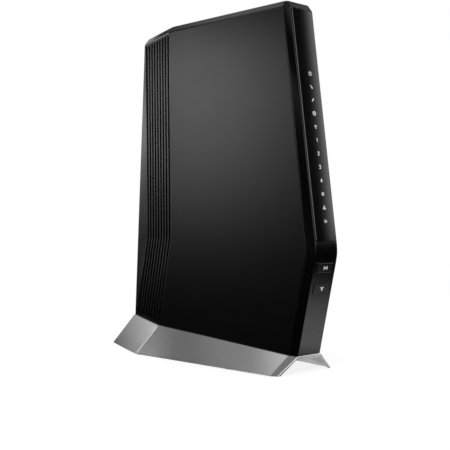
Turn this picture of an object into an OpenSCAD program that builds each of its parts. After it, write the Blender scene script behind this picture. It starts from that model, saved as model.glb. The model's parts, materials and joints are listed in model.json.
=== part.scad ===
// Tower cable modem router: a wedge-shaped black housing on a flared metal stand.
// Millimetres, +Z up, front towards -Y. The origin is under the middle of the outline, on the floor.

/* [Overall] */
// Height from the floor to the top of the housing
overall_h = 270.5; // [262:0.5:290]
// Depth from the nose of the front to the rear toe of the stand
overall_d = 241; // [232:1:255]

/* [Housing outline] */
// Width across the side panels at their top rear corners
body_w = 59.2; // [57:0.2:66]
// Width across the side panels, carried on to the nose
panel_nose_w = 23.37; // [22.8:0.01:25]
// Width of the flat front face
face_w = 22.8; // [21:0.2:24]
// Height of the nose, where the front bends
nose_h = 89.3; // [84:0.1:98]
// Radius that rounds the bend of the front
nose_r = 32; // [24:1:40]
// Lean of the front above the nose, degrees
lean_up = 8.1; // [7:0.1:9]
// Lean of the front below the nose, degrees
lean_low = 13.4; // [12:0.1:14.5]
// Depth of the slanted strip beside the front face, at the top
strip_top = 3.6; // [3.2:0.1:5]
// Depth of the slanted strip beside the front face, at the nose
strip_nose = 8.1; // [7:0.1:9]
// Depth of the slanted strip beside the front face, at the foot
strip_foot = 5.9; // [5:0.1:7]
// From the rear edge of the side panel to the stand's rear toe, at the top
panel_top_back = 95.1; // [89:0.1:101]
// From the rear edge of the side panel to the stand's rear toe, at the crease
panel_crease_back = 97.4; // [91:0.1:103]
// From the rear edge of the side panel to the stand's rear toe, at the foot
panel_foot_back = 83; // [77:0.1:89]
// Height of the crease in the louvred band
crease_h = 97; // [90:0.5:108]
// Height of the bevel round the top
bevel_h = 5; // [4:0.1:7]
// How far the bevel draws in the top
bevel_in = 3.2; // [2:0.1:4]
// Height of the lip under the top cap
cap_lip_h = 4; // [3:0.1:6]
// Thickness of the lip under the top cap
cap_lip_t = 1.6; // [1.2:0.1:2.2]
// Wall of the side covers and the rear panel
wall = 2.2; // [1.8:0.1:2.5]
// Wall of the front bezel
bezel_wall = 2.6; // [2.4:0.1:3]
// Gap between neighbouring housing pieces
seam_gap = 0.3; // [0.2:0.05:0.5]
// Clearance where one fixed piece slips into another
fit = 0.25; // [0.15:0.05:0.4]

/* [Louvres] */
// Length of the louvred band behind each side panel
band_l = 51.2; // [50.5:0.1:56]
// Angle by which the band closes towards the rear, degrees
band_angle = 13; // [11:0.1:14]
// Plain strip behind the band at the top
tail_top = 2.6; // [2.4:0.1:4]
// Plain strip behind the band at the foot
tail_foot = 3.1; // [2.6:0.1:5]
// Slots in each band
slot_count = 9; // [5:1:9]
// Width of a slot
slot_w = 3.3; // [2:0.1:3.8]
// Distance from slot to slot
slot_pitch = 5.7; // [5:0.05:5.75]
// From the panel's edge to the middle of the first slot
slot_first = 3.4; // [2.8:0.1:3.6]
// Solid border above and below the slots
slot_border = 2.5; // [2:0.1:8]
// Cross ribs behind each band
rib_count = 5; // [2:1:8]
// Depth of a cross rib behind the wall
rib_d = 2; // [1:0.1:3]
// Height of a cross rib
rib_h = 1.6; // [1:0.1:3]

/* [Stand] */
// Height of the seam between stand and housing, below the nose
seam_h = 12.2; // [11:0.1:16]
// Slope of the seam, rising to the rear, degrees
seam_slope = 4.4; // [3.5:0.1:5]
// Greatest width of the stand
stand_w = 90.4; // [84:0.2:100]
// From the stand's widest place to its rear toe
stand_corner_back = 69.2; // [63:0.1:76]
// From the nose to the front of the stand's legs
stand_front_d = 20.9; // [18:0.1:24]
// Width across the front of the legs
stand_front_w = 55.6; // [50:0.2:60]
// Depth of the slanted strip at the front of each leg
stand_strip_d = 5; // [4:0.1:7]
// Width across the legs behind that strip
stand_side_w = 61.7; // [58:0.1:68]
// Width across the rear toes
toe_w = 45.2; // [42:0.2:52]
// Ledge of the stand round the housing
stand_ledge = 0.5; // [0.3:0.1:1]
// Wall of the legs, measured level
stand_wall = 2.6; // [2.2:0.1:3.2]
// Thickness of the stand's top plate
plate_t = 3.2; // [2:0.1:3.6]
// Radius of a rubber foot
foot_r = 3.6; // [3:0.1:4.4]
// How far a foot stands proud
foot_proud = 0.5; // [0.3:0.1:2]
// How deep a foot sits in its pad
foot_sunk = 1; // [0.6:0.1:1.6]
// Height of the pad that holds a foot
pad_h = 3; // [2.4:0.1:4]
// Rim of the pad round a foot
pad_rim = 1.4; // [1.2:0.1:2.2]
// From the nose to the front feet
foot_front = 70; // [60:0.5:80]
// Thickness of the bottom plate inside the housing
tray_t = 2.6; // [2:0.1:4]
// From the nose to the front screws of the stand
stand_screw_front = 56; // [50:1:62]
// From the housing's rear foot to the rear screws of the stand
stand_screw_back = 39.5; // [34:0.5:46]
// From the middle to a screw of the stand
stand_screw_x = 7.5; // [6:0.1:8]

/* [Lamp window] */
// Margin of the window inside the front face
window_margin = 0.8; // [0.7:0.1:1.6]
// From the bend to the window's lower edge
window_low = 2.5; // [1.5:0.1:6]
// From the window's upper edge to the bevel
window_top = 0.7; // [0.6:0.1:5]
// Thickness of the window
window_t = 1.4; // [1:0.1:1.6]
// Indicator lamps
lamp_count = 12; // [8:1:14]
// Distance from lamp to lamp
lamp_pitch = 9.83; // [8:0.01:10]
// From the bend to the lowest lamp
lamp_first = 16.4; // [13:0.1:20]
// Radius of a light guide's pin
guide_pin_r = 1.4; // [1:0.1:1.8]
// Width of the light guide's strip
guide_w = 5; // [4:0.1:6]
// Thickness of the light guide's strip
guide_t = 1.6; // [1.2:0.1:2.4]
// Height of a lamp on its board
lamp_h = 0.9; // [0.6:0.1:1.4]
// Width of a lamp
lamp_w = 1.6; // [1.2:0.1:2.2]
// Width of the small boards behind the front
small_board_w = 13; // [11:0.1:14]
// Thickness of the small boards
small_board_t = 1.2; // [0.8:0.1:1.6]
// From an end lamp to the nearest screw of the lamp board
lamp_boss_gap = 7; // [6:0.1:8]
// From a small board's end to its nearest screw
board_end = 5; // [4:0.1:6]

/* [Front buttons] */
// Width of a button
button_w = 16; // [14:0.1:16.4]
// Height of a button
button_h = 6.9; // [6:0.1:7.4]
// Corner radius of a button
button_r = 1.2; // [0.8:0.1:2]
// From the bend down to the middle of the first button
button_first = 4.9; // [4.8:0.1:7]
// Distance between the buttons
button_pitch = 15.4; // [15:0.1:18]
// How far a button stands proud
button_proud = 0.4; // [0.2:0.1:1]
// Clearance round a moving button
button_gap = 0.35; // [0.3:0.05:0.5]
// Travel of a front button
button_travel = 0.8; // [0.4:0.1:0.9]
// Lip that holds a button behind the wall
button_lip = 1.1; // [0.8:0.1:1.3]
// Thickness of the lip
button_lip_t = 1.2; // [0.8:0.1:1.6]
// Post between the lip and the switch
button_post = 1.4; // [1.2:0.1:2]
// Width of a push switch's housing
switch_w = 6; // [5:0.1:7]
// Height of a push switch's housing
switch_h = 3.5; // [2.6:0.1:5]
// Radius of a switch's plunger
plunger_r = 1.7; // [1.2:0.1:2]

/* [Main board] */
// Left face of the main board
board_x = -8.4; // [-9.4:0.1:-7.6]
// Thickness of the main board
board_t = 1.6; // [1.2:0.1:2]
// From the nose to the front edge of the main board
board_front_d = 60; // [56:0.5:66]
// Height of the lower edge of the main board
board_low = 39; // [38:0.5:45]
// From the bevel down to the upper edge of the main board
board_top = 16; // [14:0.5:24]
// Radius of a standoff
standoff_r = 3; // [2.6:0.1:3.6]
// From the nose to the front column of standoffs
standoff_front = 80; // [78:0.5:84]
// From the rear column of standoffs to the side panel's rear edge
standoff_back = 9.1; // [8:0.1:12]
// From the board's upper and lower edges to the nearest standoffs
standoff_edge = 14; // [11:0.5:16]
// Radius of a screw's shank
screw_r = 1.4; // [1:0.1:1.6]
// Radius of a screw's head
screw_head_r = 2.7; // [2.2:0.1:3]
// Height of a screw's head
screw_head_h = 1.7; // [1.2:0.1:2.4]
// Length of a screw's shank
screw_l = 6; // [5:0.1:8]
// Side of a chip
chip_w = 22; // [16:0.5:28]
// Height of a chip
chip_h = 2.4; // [1.5:0.1:3]
// Width of a heat sink
sink_w = 56; // [46:1:60]
// Height of a heat sink, up the board
sink_l = 70; // [56:1:76]
// Thickness of a heat sink's base
sink_base = 3; // [2:0.1:4]
// Height of the fins
fin_h = 12; // [8:0.5:14]
// Thickness of a fin
fin_t = 1.6; // [1:0.1:2]
// Fins on a heat sink
fin_count = 9; // [6:1:11]
// Radius of a heat sink's leg
leg_r = 2; // [1.5:0.1:2.5]
// Width, height and depth of a radio shield
shield_size = [34, 26, 3.2];
// Width, height and depth of the tuner's can
tuner_size = [30, 24, 8];
// From the middle of the tuner's can to the housing's rear foot
tuner_back = 39; // [36:0.5:44]
// Radius of a capacitor
cap_r = 5; // [3:0.1:6]
// Height of a capacitor
cap_h = 11; // [8:0.5:14]
// From the first capacitor to the housing's rear foot
cap_back = 51; // [48:0.5:60]
// Radius of a cover post
post_r = 4; // [3.6:0.1:4.6]
// From the nose to the front cover posts
post_front = 46; // [43:0.5:48]
// From the rear cover posts to the side panel's rear edge
post_back = 2.6; // [2:0.1:6]
// Height of the lowest front post
post_low = 61; // [56:0.5:68]
// From the highest front post to the bevel
post_high = 32.5; // [28:0.5:38]
// From the upper rear post to the bevel
post_edge = 10; // [9.5:0.5:12]
// Radius of the peg in a cover post
peg_r = 2.4; // [2:0.1:2.8]
// Length of the peg
peg_l = 7; // [5:0.5:10]
// Width of an antenna board
antenna_w = 11; // [8:0.5:12]
// Length of an antenna board
antenna_l = 48; // [36:1:52]
// Thickness of an antenna board
antenna_t = 0.8; // [0.6:0.1:1.2]
// From the nose to the upright antenna board
antenna_front = 60; // [58:0.5:64]
// From the upright antenna board's middle to the bevel
antenna_down = 74.5; // [70:0.5:80]
// From the level antenna board's middle to the side panel's rear edge
antenna_back = 48; // [44:0.5:52]
// From the level antenna board's middle to the bevel
antenna_edge = 14; // [12:0.5:16]

/* [Rear ports] */
// From the seam to the lowest port
port_low = 12; // [9:0.5:14]
// Gap between neighbouring ports
port_gap = 4; // [2.5:0.1:5]
// How far a socket sits back in the rear panel
port_back = 0.6; // [0.2:0.1:1]
// Network sockets in the lower row
lan_count = 4; // [2:1:4]
// Width, thickness and depth of a network socket
jack_size = [16, 13.4, 18];
// Width, thickness and depth of a network socket's mouth
jack_mouth = [11.9, 7.6, 13];
// Width and thickness of the latch notch in the mouth
jack_notch = [6, 2.2];
// Width, thickness and depth of the USB socket
usb_size = [14.6, 7.2, 17.5];
// Wall of the USB socket's shell
usb_wall = 0.9; // [0.6:0.1:1.2]
// Thickness of the USB socket's tongue
usb_tongue = 1.9; // [1.4:0.1:2.2]
// From the USB socket's tongue to the shell beside it
usb_tongue_gap = 0.7; // [0.5:0.1:0.9]
// How far the USB socket's tongue stays inside the mouth, at its sides and its end
usb_inset = 1; // [0.7:0.1:1.3]
// Solid rear of the USB socket
usb_rear = 3; // [2.6:0.1:4]
// Radius of the coax barrel, over its thread
coax_r = 4.76; // [4.6:0.01:4.9]
// How far the coax barrel stands out of its nut
coax_out = 8.5; // [6:0.5:10]
// Collar of the barrel inside the nut and the rear panel
coax_collar = 0.4; // [0.2:0.05:0.6]
// Radius of the hole in the coax barrel
coax_bore_r = 1.6; // [1:0.1:2]
// Thickness of the coax nut
nut_t = 2.5; // [2:0.1:3.5]
// Width across the flats of the coax nut
nut_w = 12.7; // [11:0.1:14]
// Width, thickness and depth of the coax block on the board
coax_size = [13, 13.4, 11];
// Width, thickness and depth of the power inlet
inlet_size = [11, 11.6, 13.5];
// Radius of the power inlet's nose
inlet_nose_r = 4.4; // [4:0.1:4.8]
// Radius of the power inlet's bore
inlet_r = 3.1; // [2.8:0.1:3.3]
// Depth of the power inlet's bore
inlet_bore = 10; // [8:0.5:11]
// Radius of the power inlet's pin
inlet_pin_r = 1.05; // [0.8:0.05:1.3]
// How far the power inlet's pin stays inside its bore
inlet_pin_in = 1; // [0.5:0.1:2]
// Side of the power button
power_w = 8.6; // [7:0.1:10]
// How far the power button stands proud
power_proud = 2; // [1.8:0.1:4]
// Travel of the power button
power_travel = 1.6; // [1:0.1:1.7]
// Width, thickness and depth of the power switch
power_switch_size = [12, 12.6, 12];
// Radius of the reset hole
reset_r = 1.2; // [0.9:0.1:1.5]
// Rim of the reset button behind its hole
reset_rim = 0.8; // [0.6:0.1:1]
// Travel of the reset button
reset_travel = 0.6; // [0.3:0.1:0.8]
// Width, thickness and depth of the reset switch
reset_switch_size = [7, 9.6, 6];

/* [Hidden] */
$fn = 48;

// Colours as the object shows them
satin_black = [0.11, 0.11, 0.115];
gloss_black = [0.03, 0.03, 0.035];
silver = [0.66, 0.65, 0.66];
rubber_black = [0.05, 0.05, 0.05];
board_green = [0.08, 0.3, 0.16];
steel = [0.72, 0.73, 0.75];
milk_white = [0.92, 0.93, 0.95];
brass_gold = [0.78, 0.62, 0.3];

// Small overlap that fuses two shapes of one piece, and overshoot of a cut
sink_in = 0.6;
past = 2;
// Steps of the front: below the nose, round it and above it, where the slanted strips turn
foot_steps = 3;
arc_steps = 4;
face_steps = 8;

// Main levels and places
nose_y = -overall_d / 2;
toe_y = overall_d / 2;
shoulder_z = overall_h - bevel_h;
arc_y = nose_y + nose_r;
panel_top_y = toe_y - panel_top_back;
panel_crease_y = toe_y - panel_crease_back;
panel_foot_y = toe_y - panel_foot_back;
// Angle by which each side panel opens towards the rear
side_angle = atan((body_w - panel_nose_w) / 2 / (panel_top_y - nose_y));

// Height of the seam plane at depth y
function seam_z(y) = seam_h + tan(seam_slope) * (y - nose_y);
function on_seam(p) = [p.x, p.y, seam_z(p.y)];
function at_height(p, z) = [p.x, p.y, z];

// Half width across the side panels at depth y
function panel_x(y) = body_w / 2 - tan(side_angle) * (panel_top_y - y);

// Side view of the front as [depth, height]: the straight foot, the rounded nose, the straight top
low_end = [arc_y - nose_r * cos(lean_low), nose_h - nose_r * sin(lean_low)];
up_end = [arc_y - nose_r * cos(lean_up), nose_h + nose_r * sin(lean_up)];
front_foot_y = (low_end[0] + (low_end[1] - seam_h + tan(seam_slope) * nose_y) * tan(lean_low))
    / (1 + tan(seam_slope) * tan(lean_low));
front_top_y = up_end[0] + (shoulder_z - up_end[1]) * tan(lean_up);
front_line = concat(
    [[front_foot_y, seam_z(front_foot_y)]],
    [for (i = [0:arc_steps]) let (a = -lean_low + i * (lean_low + lean_up) / arc_steps)
        [arc_y - nose_r * cos(a), nose_h + nose_r * sin(a)]],
    [[front_top_y, shoulder_z]]);
last_line = len(front_line) - 1;

// Depth of the slanted strip and place of the panel's rear edge at height z
function strip(z) = lookup(z, [[seam_z(front_foot_y), strip_foot], [nose_h, strip_nose],
    [shoulder_z, strip_top]]);
function panel_end_y(z) = lookup(z, [[seam_z(panel_foot_y), panel_foot_y],
    [crease_h, panel_crease_y], [shoulder_z, panel_top_y]]);

// The louvred band runs from the panel's edge along band_dir, and the rear corner is a straight edge
band_dir = [-sin(band_angle), cos(band_angle)];
band_out = [cos(band_angle), sin(band_angle)];
function panel_end(z) = [panel_x(panel_end_y(z)), panel_end_y(z)];
foot_end = [panel_x(panel_foot_y), panel_foot_y];
corner_top = [panel_x(panel_top_y), panel_top_y] + (band_l + tail_top) * band_dir;
corner_foot = foot_end + (band_l + tail_foot) * band_dir;
corner_foot_z = seam_z(corner_foot.y);
function corner(z) = corner_foot
    + (corner_top - corner_foot) * (z - corner_foot_z) / (shoulder_z - corner_foot_z);
rear_lean = atan((corner_foot.y - corner_top.y) / (shoulder_z - corner_foot_z));

// Right half of the housing's outline at a level: face, panel front, panel rear, band end, corner
function foot_half() = let (y = front_foot_y + strip_foot)
    [for (p = [[face_w / 2, front_foot_y], [panel_x(y), y], foot_end,
        foot_end + band_l * band_dir, corner_foot]) on_seam(p)];
function upper_half(k) = let (
        y = front_line[k][0],
        z = front_line[k][1],
        yp = y + strip(z),
        zr = k == last_line ? z : z + crease_h - nose_h,
        e = panel_end(zr))
    [[face_w / 2, y, z], [panel_x(yp), yp, z], at_height(e, zr),
        at_height(e + band_l * band_dir, zr), at_height(corner(zr), zr)];
function mirrored(p) = [-p.x, p.y, p.z];
// Whole outline, anticlockwise from above: the right half from the front, then the left half from the rear
function whole(h) = concat(h, [for (i = [len(h) - 1:-1:0]) mirrored(h[i])]);
// Halves of all levels, with steps between the ends of each straight stretch
function between(a, b, n) = [for (i = [0:n - 1]) a + (b - a) * i / n];
halves = concat(
    between(foot_half(), upper_half(1), foot_steps),
    [for (k = [1:last_line - 2]) upper_half(k)],
    between(upper_half(last_line - 1), upper_half(last_line), face_steps),
    [upper_half(last_line)]);
top_level = len(halves) - 1;
function outline(k) = whole(halves[k]);
// The outline without the band's ends, for levels where the band and the corner are in line
function rim_outline(k) = let (o = outline(k)) [for (i = [0, 1, 2, 4, 5, 7, 8, 9]) o[i]];

// An outline drawn in by t all round, level by level
function left_normal(v) = [-v.y, v.x] / norm([v.x, v.y]);
function inset(o, t) = [for (i = [0:len(o) - 1]) let (
        b = o[i],
        n = left_normal(b - o[(i + len(o) - 1) % len(o)]),
        m = left_normal(o[(i + 1) % len(o)] - b),
        d = t * (n + m) / (1 + n * m))
    [b.x + d.x, b.y + d.y, b.z]];
function seated(o, k) = k == 0 ? [for (p = o) on_seam(p)] : o;
function section(k, t) = seated(inset(outline(k), t), k);
function rim(k, t) = seated(inset(rim_outline(k), t), k);

// Part of the housing's wall between two corners, with the ends drawn back by gaps
function toward(a, b, d) = a + d * (b - a) / norm(b - a);
function trimmed(p, gaps) = let (e = len(p) - 1)
    concat([toward(p[0], p[1], gaps[0])], [for (j = [1:1:e - 1]) p[j]],
        [toward(p[e], p[e - 1], gaps[1])]);
function reversed(p) = [for (i = [len(p) - 1:-1:0]) p[i]];
function wall_section(k, run, t, gaps) = let (o = section(k, 0), n = section(k, t))
    concat(reversed(trimmed([for (i = run) n[i]], gaps)), trimmed([for (i = run) o[i]], gaps));
cover_run = [1, 2, 3, 4];
bezel_run = [8, 9, 0, 1];
rear_run = [4, 5];

// Solid through a list of outlines, each running up one side and back down the other, so that
// the first point faces the last
module loft(sections) {
    n = len(sections[0]);
    m = len(sections);
    top = (m - 1) * n;
    polyhedron(
        points = [for (s = sections) each s],
        faces = [
            for (j = [0:n / 2 - 2]) each [[j, j + 1, n - 1 - j], [j + 1, n - 2 - j, n - 1 - j],
                [top + j, top + n - 1 - j, top + j + 1],
                [top + j + 1, top + n - 1 - j, top + n - 2 - j]],
            for (k = [0:m - 2], i = [0:n - 1]) let (a = k * n + i, b = k * n + (i + 1) % n)
                each [[a, a + n, b], [a + n, b + n, b]]]);
}

module housing_wall(run, t, gaps) {
    loft([for (k = [0:top_level]) wall_section(k, run, t, gaps)]);
}

// Frames on the main faces: x across, y up the face, z out of it
module upper_face() {
    translate([0, up_end[0], up_end[1]]) rotate([90 - lean_up, 0, 0]) children();
}
module lower_face() {
    translate([0, low_end[0], low_end[1]]) rotate([90 + lean_low, 0, 0]) children();
}
module rear_face() {
    translate([0, corner_foot.y, corner_foot_z]) rotate([0, 0, 180]) rotate([90 - rear_lean, 0, 0])
        children();
}
// Frame on the seam: y along the slope from below the nose, z square to it
module seam_face() {
    translate([0, nose_y, seam_h]) rotate([seam_slope, 0, 0]) children();
}
// Frame on the right face of the main board: x to the rear, y up, z out of the board
module board_face() {
    translate([board_x + board_t, 0, 0]) rotate([90, 0, 90]) children();
}

// Rectangle with round corners
module rounded(w, h, r) {
    square([w - 2 * r, h], center = true);
    square([w, h - 2 * r], center = true);
    for (x = [-1, 1], y = [-1, 1]) translate([x * (w / 2 - r), y * (h / 2 - r)]) circle(r);
}
// Block whose width, height and depth run back from z
module block(size, z = 0) {
    translate([-size.x / 2, -size.y / 2, z - size.z]) cube(size);
}
// Screw whose head sits on z = 0 and whose shank points down
module screw(length = screw_l) {
    cylinder(r = screw_head_r, h = screw_head_h);
    translate([0, 0, -length]) cylinder(r = screw_r, h = length + sink_in);
}

// Stand

stand_front_y = nose_y + stand_front_d;
stand_corner_y = toe_y - stand_corner_back;
stand_side_y = stand_front_y + stand_strip_d;
floor_half = [[stand_front_w / 2, stand_front_y], [stand_side_w / 2, stand_side_y],
    [stand_w / 2, stand_corner_y], [toe_w / 2, toe_y]];
floor_outline = whole([for (p = floor_half) at_height(p, foot_proud)]);
stand_top = rim(0, -stand_ledge);
// The skin of the stand at a share s of the way down from the seam, or at a depth below the seam
function skin(s) = [for (i = [0:len(stand_top) - 1]) stand_top[i] + s * (floor_outline[i] - stand_top[i])];
function skin_below(d) = [for (i = [0:len(stand_top) - 1]) let (p = stand_top[i])
    p + d / (p.z - foot_proud) * (floor_outline[i] - p)];
// The hollow keeps the wall of the legs and runs out at the front and the rear
function run_on(a, b, d) = b + d * (b - a) / norm(b - a);
open_run = 14;
function hollow(o) = let (n = inset(o, stand_wall))
    [run_on(n[1], n[0], open_run), n[1], n[2], run_on(n[2], n[3], open_run),
        run_on(n[5], n[4], open_run), n[5], n[6], run_on(n[6], n[7], open_run)];
// The hollow's top follows the seam, so that the plate has one thickness
function under_plate(o) = [for (p = o) [p.x, p.y, seam_z(p.y) - plate_t / cos(seam_slope)]];
// Steps that let the twisted sides of the stand curve evenly
side_steps = 8;
function steps_of(i) = i == 1 || i == 5 ? side_steps : 1;
function divided(o) = [for (i = [0:len(o) - 1], j = [0:steps_of(i) - 1])
    o[i] + (o[(i + 1) % len(o)] - o[i]) * j / steps_of(i)];
// Feet inside the legs: at the front, at the widest place and at the rear toes
foot_line = inset(floor_outline, foot_r + pad_rim);
function along(a, b, y) = a + (b - a) * (y - a.y) / (b.y - a.y);
foot_half_places = [along(foot_line[1], foot_line[2], nose_y + foot_front), foot_line[2], foot_line[3]];
foot_places = concat(foot_half_places, [for (p = foot_half_places) mirrored(p)]);
stand_screw_y = [stand_screw_front, (corner_foot.y - nose_y) / cos(seam_slope) - stand_screw_back];
stand_screw_places = [for (x = [-1, 1], y = stand_screw_y) [x * stand_screw_x, y]];
tray_boss_h = 4.5;

module stand() {
    color(silver) difference() {
        union() {
            difference() {
                loft([for (s = [1, 0]) divided(skin(s))]);
                loft([divided(hollow(skin(1.3))), divided(under_plate(hollow(skin_below(plate_t))))]);
            }
            intersection() {
                loft([for (s = [1, 0]) divided(skin(s))]);
                for (p = foot_places) translate(p) cylinder(r = foot_r + pad_rim, h = pad_h);
            }
        }
        for (p = foot_places) translate([p.x, p.y, foot_proud - past])
            cylinder(r = foot_r + fit, h = past + foot_sunk);
        seam_face() for (p = stand_screw_places) translate([p.x, p.y, -plate_t - past])
            cylinder(r = screw_r + fit, h = plate_t + 2 * past);
    }
}

module stand_feet() {
    color(rubber_black) for (p = foot_places) translate([p.x, p.y, 0])
        cylinder(r = foot_r, h = foot_proud + foot_sunk);
}

module stand_screws() {
    color(steel) seam_face() for (p = stand_screw_places) translate([p.x, p.y, -plate_t])
        mirror([0, 0, 1]) screw(plate_t + tray_t + tray_boss_h - past);
}

module bottom_plate() {
    plan = [for (p = rim(0, bezel_wall + fit)) [p.x, (p.y - nose_y) / cos(seam_slope)]];
    color(satin_black) seam_face() difference() {
        union() {
            linear_extrude(tray_t) polygon(plan);
            for (p = stand_screw_places) translate([p.x, p.y, tray_t - sink_in])
                cylinder(r = standoff_r, h = tray_boss_h + sink_in);
        }
        for (p = stand_screw_places) translate([p.x, p.y, -past])
            cylinder(r = screw_r + fit / 2, h = tray_t + tray_boss_h + past - sink_in);
    }
}

// Side covers

// Board standoffs, by depth and height
board_high = shoulder_z - board_top;
standoff_y = [nose_y + standoff_front, panel_crease_y - standoff_back];
standoff_z = [board_low + standoff_edge, (board_low + board_high) / 2, board_high - standoff_edge];
// Cover posts as [depth, height]: three at the front, two at the rear, past the board's corners
post_front_y = nose_y + post_front;
post_rear_y = panel_crease_y - post_back;
post_top_z = shoulder_z - post_high;
post_places = [[post_front_y, post_low], [post_front_y, (post_low + post_top_z) / 2],
    [post_front_y, post_top_z], [post_rear_y, shoulder_z - post_edge],
    [post_rear_y, seam_z(post_rear_y) + tray_t + post_r + past]];
slots_low = [for (j = [0:slot_count - 1]) slot_first + j * slot_pitch];

// One slot of the right band, following its crease
module slot(d) {
    reach = wall + past;
    low = seam_z((foot_end + d * band_dir).y) + slot_border;
    loft([for (z = [low, crease_h, shoulder_z - slot_border]) let (e = panel_end(z))
        [for (q = [[d - slot_w / 2, past], [d + slot_w / 2, past],
            [d + slot_w / 2, -reach], [d - slot_w / 2, -reach]])
            at_height(e + q[0] * band_dir + q[1] * band_out, z)]]);
}

// One rib across the right band, behind its bars
module cross_rib(z) {
    e = panel_end(z);
    translate([e.x, e.y, z]) rotate([0, 0, band_angle])
        translate([-wall - rib_d, slot_first - slot_w / 2, -rib_h / 2])
        cube([rib_d + sink_in, (slot_count - 1) * slot_pitch + slot_w, rib_h]);
}

module plain_cover() {
    rib_low = seam_z(corner_foot.y) + slot_border;
    difference() {
        housing_wall(cover_run, wall, [seam_gap, 0]);
        for (d = slots_low) slot(d);
    }
    for (i = [1:rib_count]) cross_rib(rib_low + i * (shoulder_z - rib_low) / (rib_count + 1));
}

// Round post along X from inside the right wall to x
module wall_post(y, z, r, x) {
    start = panel_x(y + r) - wall + sink_in;
    intersection() {
        translate([x, y, z]) rotate([0, 90, 0]) cylinder(r = r, h = start - x);
        linear_extrude(overall_h) polygon([[x - past, y - r - past], [x - past, y + r + past],
            [panel_x(y + r + past) - wall / 2, y + r + past],
            [panel_x(y - r - past) - wall / 2, y - r - past]]);
    }
}
module across(y, z, r, x, length) {
    translate([x, y, z]) rotate([0, 90, 0]) cylinder(r = r, h = length);
}

module right_cover() {
    color(satin_black) {
        plain_cover();
        for (p = post_places) {
            wall_post(p[0], p[1], post_r, 0);
            across(p[0], p[1], peg_r, -peg_l, peg_l + sink_in);
        }
    }
}

module left_cover() {
    color(satin_black) mirror([1, 0, 0]) difference() {
        union() {
            plain_cover();
            for (p = post_places) wall_post(p[0], p[1], post_r, 0);
            for (y = standoff_y, z = standoff_z) wall_post(y, z, standoff_r, -board_x);
        }
        for (p = post_places) across(p[0], p[1], peg_r + fit / 2, -past, peg_l + fit + past);
        for (y = standoff_y, z = standoff_z)
            across(y, z, screw_r + fit / 2, -board_x - past, screw_l - board_t + fit + past);
    }
}

module top_cap() {
    plan = rim(top_level, bezel_wall + fit);
    color(satin_black) {
        loft([rim(top_level, 0), [for (p = rim(top_level, bevel_in)) at_height(p, overall_h)]]);
        translate([0, 0, shoulder_z - cap_lip_h]) linear_extrude(cap_lip_h + sink_in) difference() {
            polygon([for (p = plan) [p.x, p.y]]);
            polygon([for (p = inset(plan, cap_lip_t)) [p.x, p.y]]);
        }
    }
}

// Front: bezel, lamp window, light guide, buttons

window_w = face_w - 2 * window_margin;
upper_l = (shoulder_z - up_end[1]) / cos(lean_up);
window_l = upper_l - window_low - window_top;
lamp_v = [for (i = [0:lamp_count - 1]) lamp_first + i * lamp_pitch];
led_board_z = -bezel_wall - guide_t - lamp_h;
led_boss_v = [lamp_first - lamp_boss_gap, lamp_v[lamp_count - 1] + lamp_boss_gap];
led_board_l = led_boss_v[1] - led_boss_v[0] + 2 * board_end;
lip_z = -bezel_wall - button_gap;
post_z = lip_z - button_lip_t - button_post;
switch_z = post_z - button_travel - button_gap - fit;
button_board_z = switch_z - switch_h;
button_v = [-button_first, -button_first - button_pitch];
button_boss_v = [(button_v[0] + button_v[1]) / 2,
    button_v[1] - button_h / 2 - button_lip - standoff_r - fit];
button_boss_r = (button_pitch - button_h - 2 * button_lip) / 2 - button_gap;
button_board_l = -button_boss_v[1] + 2 * board_end;

module front_bezel() {
    color(satin_black) difference() {
        union() {
            difference() {
                housing_wall(bezel_run, bezel_wall, [0, 0]);
                upper_face() translate([0, window_low + window_l / 2, -window_t])
                    linear_extrude(past + window_t) rounded(window_w + fit, window_l + fit, button_r);
                upper_face() for (v = lamp_v) translate([0, v, -bezel_wall - past])
                    cylinder(r = guide_pin_r + fit, h = bezel_wall + past);
                lower_face() for (v = button_v) translate([0, v, -bezel_wall - past])
                    linear_extrude(bezel_wall + 2 * past)
                    rounded(button_w + 2 * button_gap, button_h + 2 * button_gap, button_r);
            }
            upper_face() for (v = led_boss_v) translate([0, v, led_board_z])
                cylinder(r = standoff_r, h = -led_board_z - bezel_wall + sink_in);
            lower_face() for (v = button_boss_v) translate([0, v, button_board_z])
                cylinder(r = button_boss_r, h = -button_board_z - bezel_wall + sink_in);
        }
        upper_face() for (v = led_boss_v) translate([0, v, led_board_z - past])
            cylinder(r = screw_r + fit / 2, h = past - led_board_z - window_t - sink_in);
        lower_face() for (v = button_boss_v) translate([0, v, button_board_z - past])
            cylinder(r = screw_r + fit / 2, h = past + screw_l);
    }
}

module led_window() {
    color(gloss_black) upper_face() translate([0, window_low + window_l / 2, -window_t])
        linear_extrude(window_t) rounded(window_w, window_l, button_r);
}

module light_guide() {
    color(milk_white) upper_face() {
        translate([-guide_w / 2, lamp_v[0] - guide_w / 2 + fit, -bezel_wall - guide_t])
            cube([guide_w, lamp_v[lamp_count - 1] - lamp_v[0] + guide_w - 2 * fit, guide_t]);
        for (v = lamp_v) translate([0, v, -bezel_wall - sink_in])
            cylinder(r = guide_pin_r, h = bezel_wall - window_t + sink_in);
    }
}

module small_board(v, length, z) {
    translate([-small_board_w / 2, v, z - small_board_t]) cube([small_board_w, length, small_board_t]);
}
module led_board() {
    color(board_green) upper_face() difference() {
        small_board(led_boss_v[0] - board_end, led_board_l, led_board_z);
        for (v = led_boss_v) translate([0, v, led_board_z - past - small_board_t])
            cylinder(r = screw_r + fit, h = small_board_t + 2 * past);
    }
}
module led_lamps() {
    color(milk_white) upper_face() for (v = lamp_v) translate([0, v, 0])
        block([lamp_w, lamp_w, lamp_h], led_board_z + lamp_h);
}
module led_board_screws() {
    length = small_board_t + guide_t + lamp_h;
    color(steel) upper_face() for (v = led_boss_v) translate([0, v, led_board_z - small_board_t])
        mirror([0, 0, 1]) screw(length);
}

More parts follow.
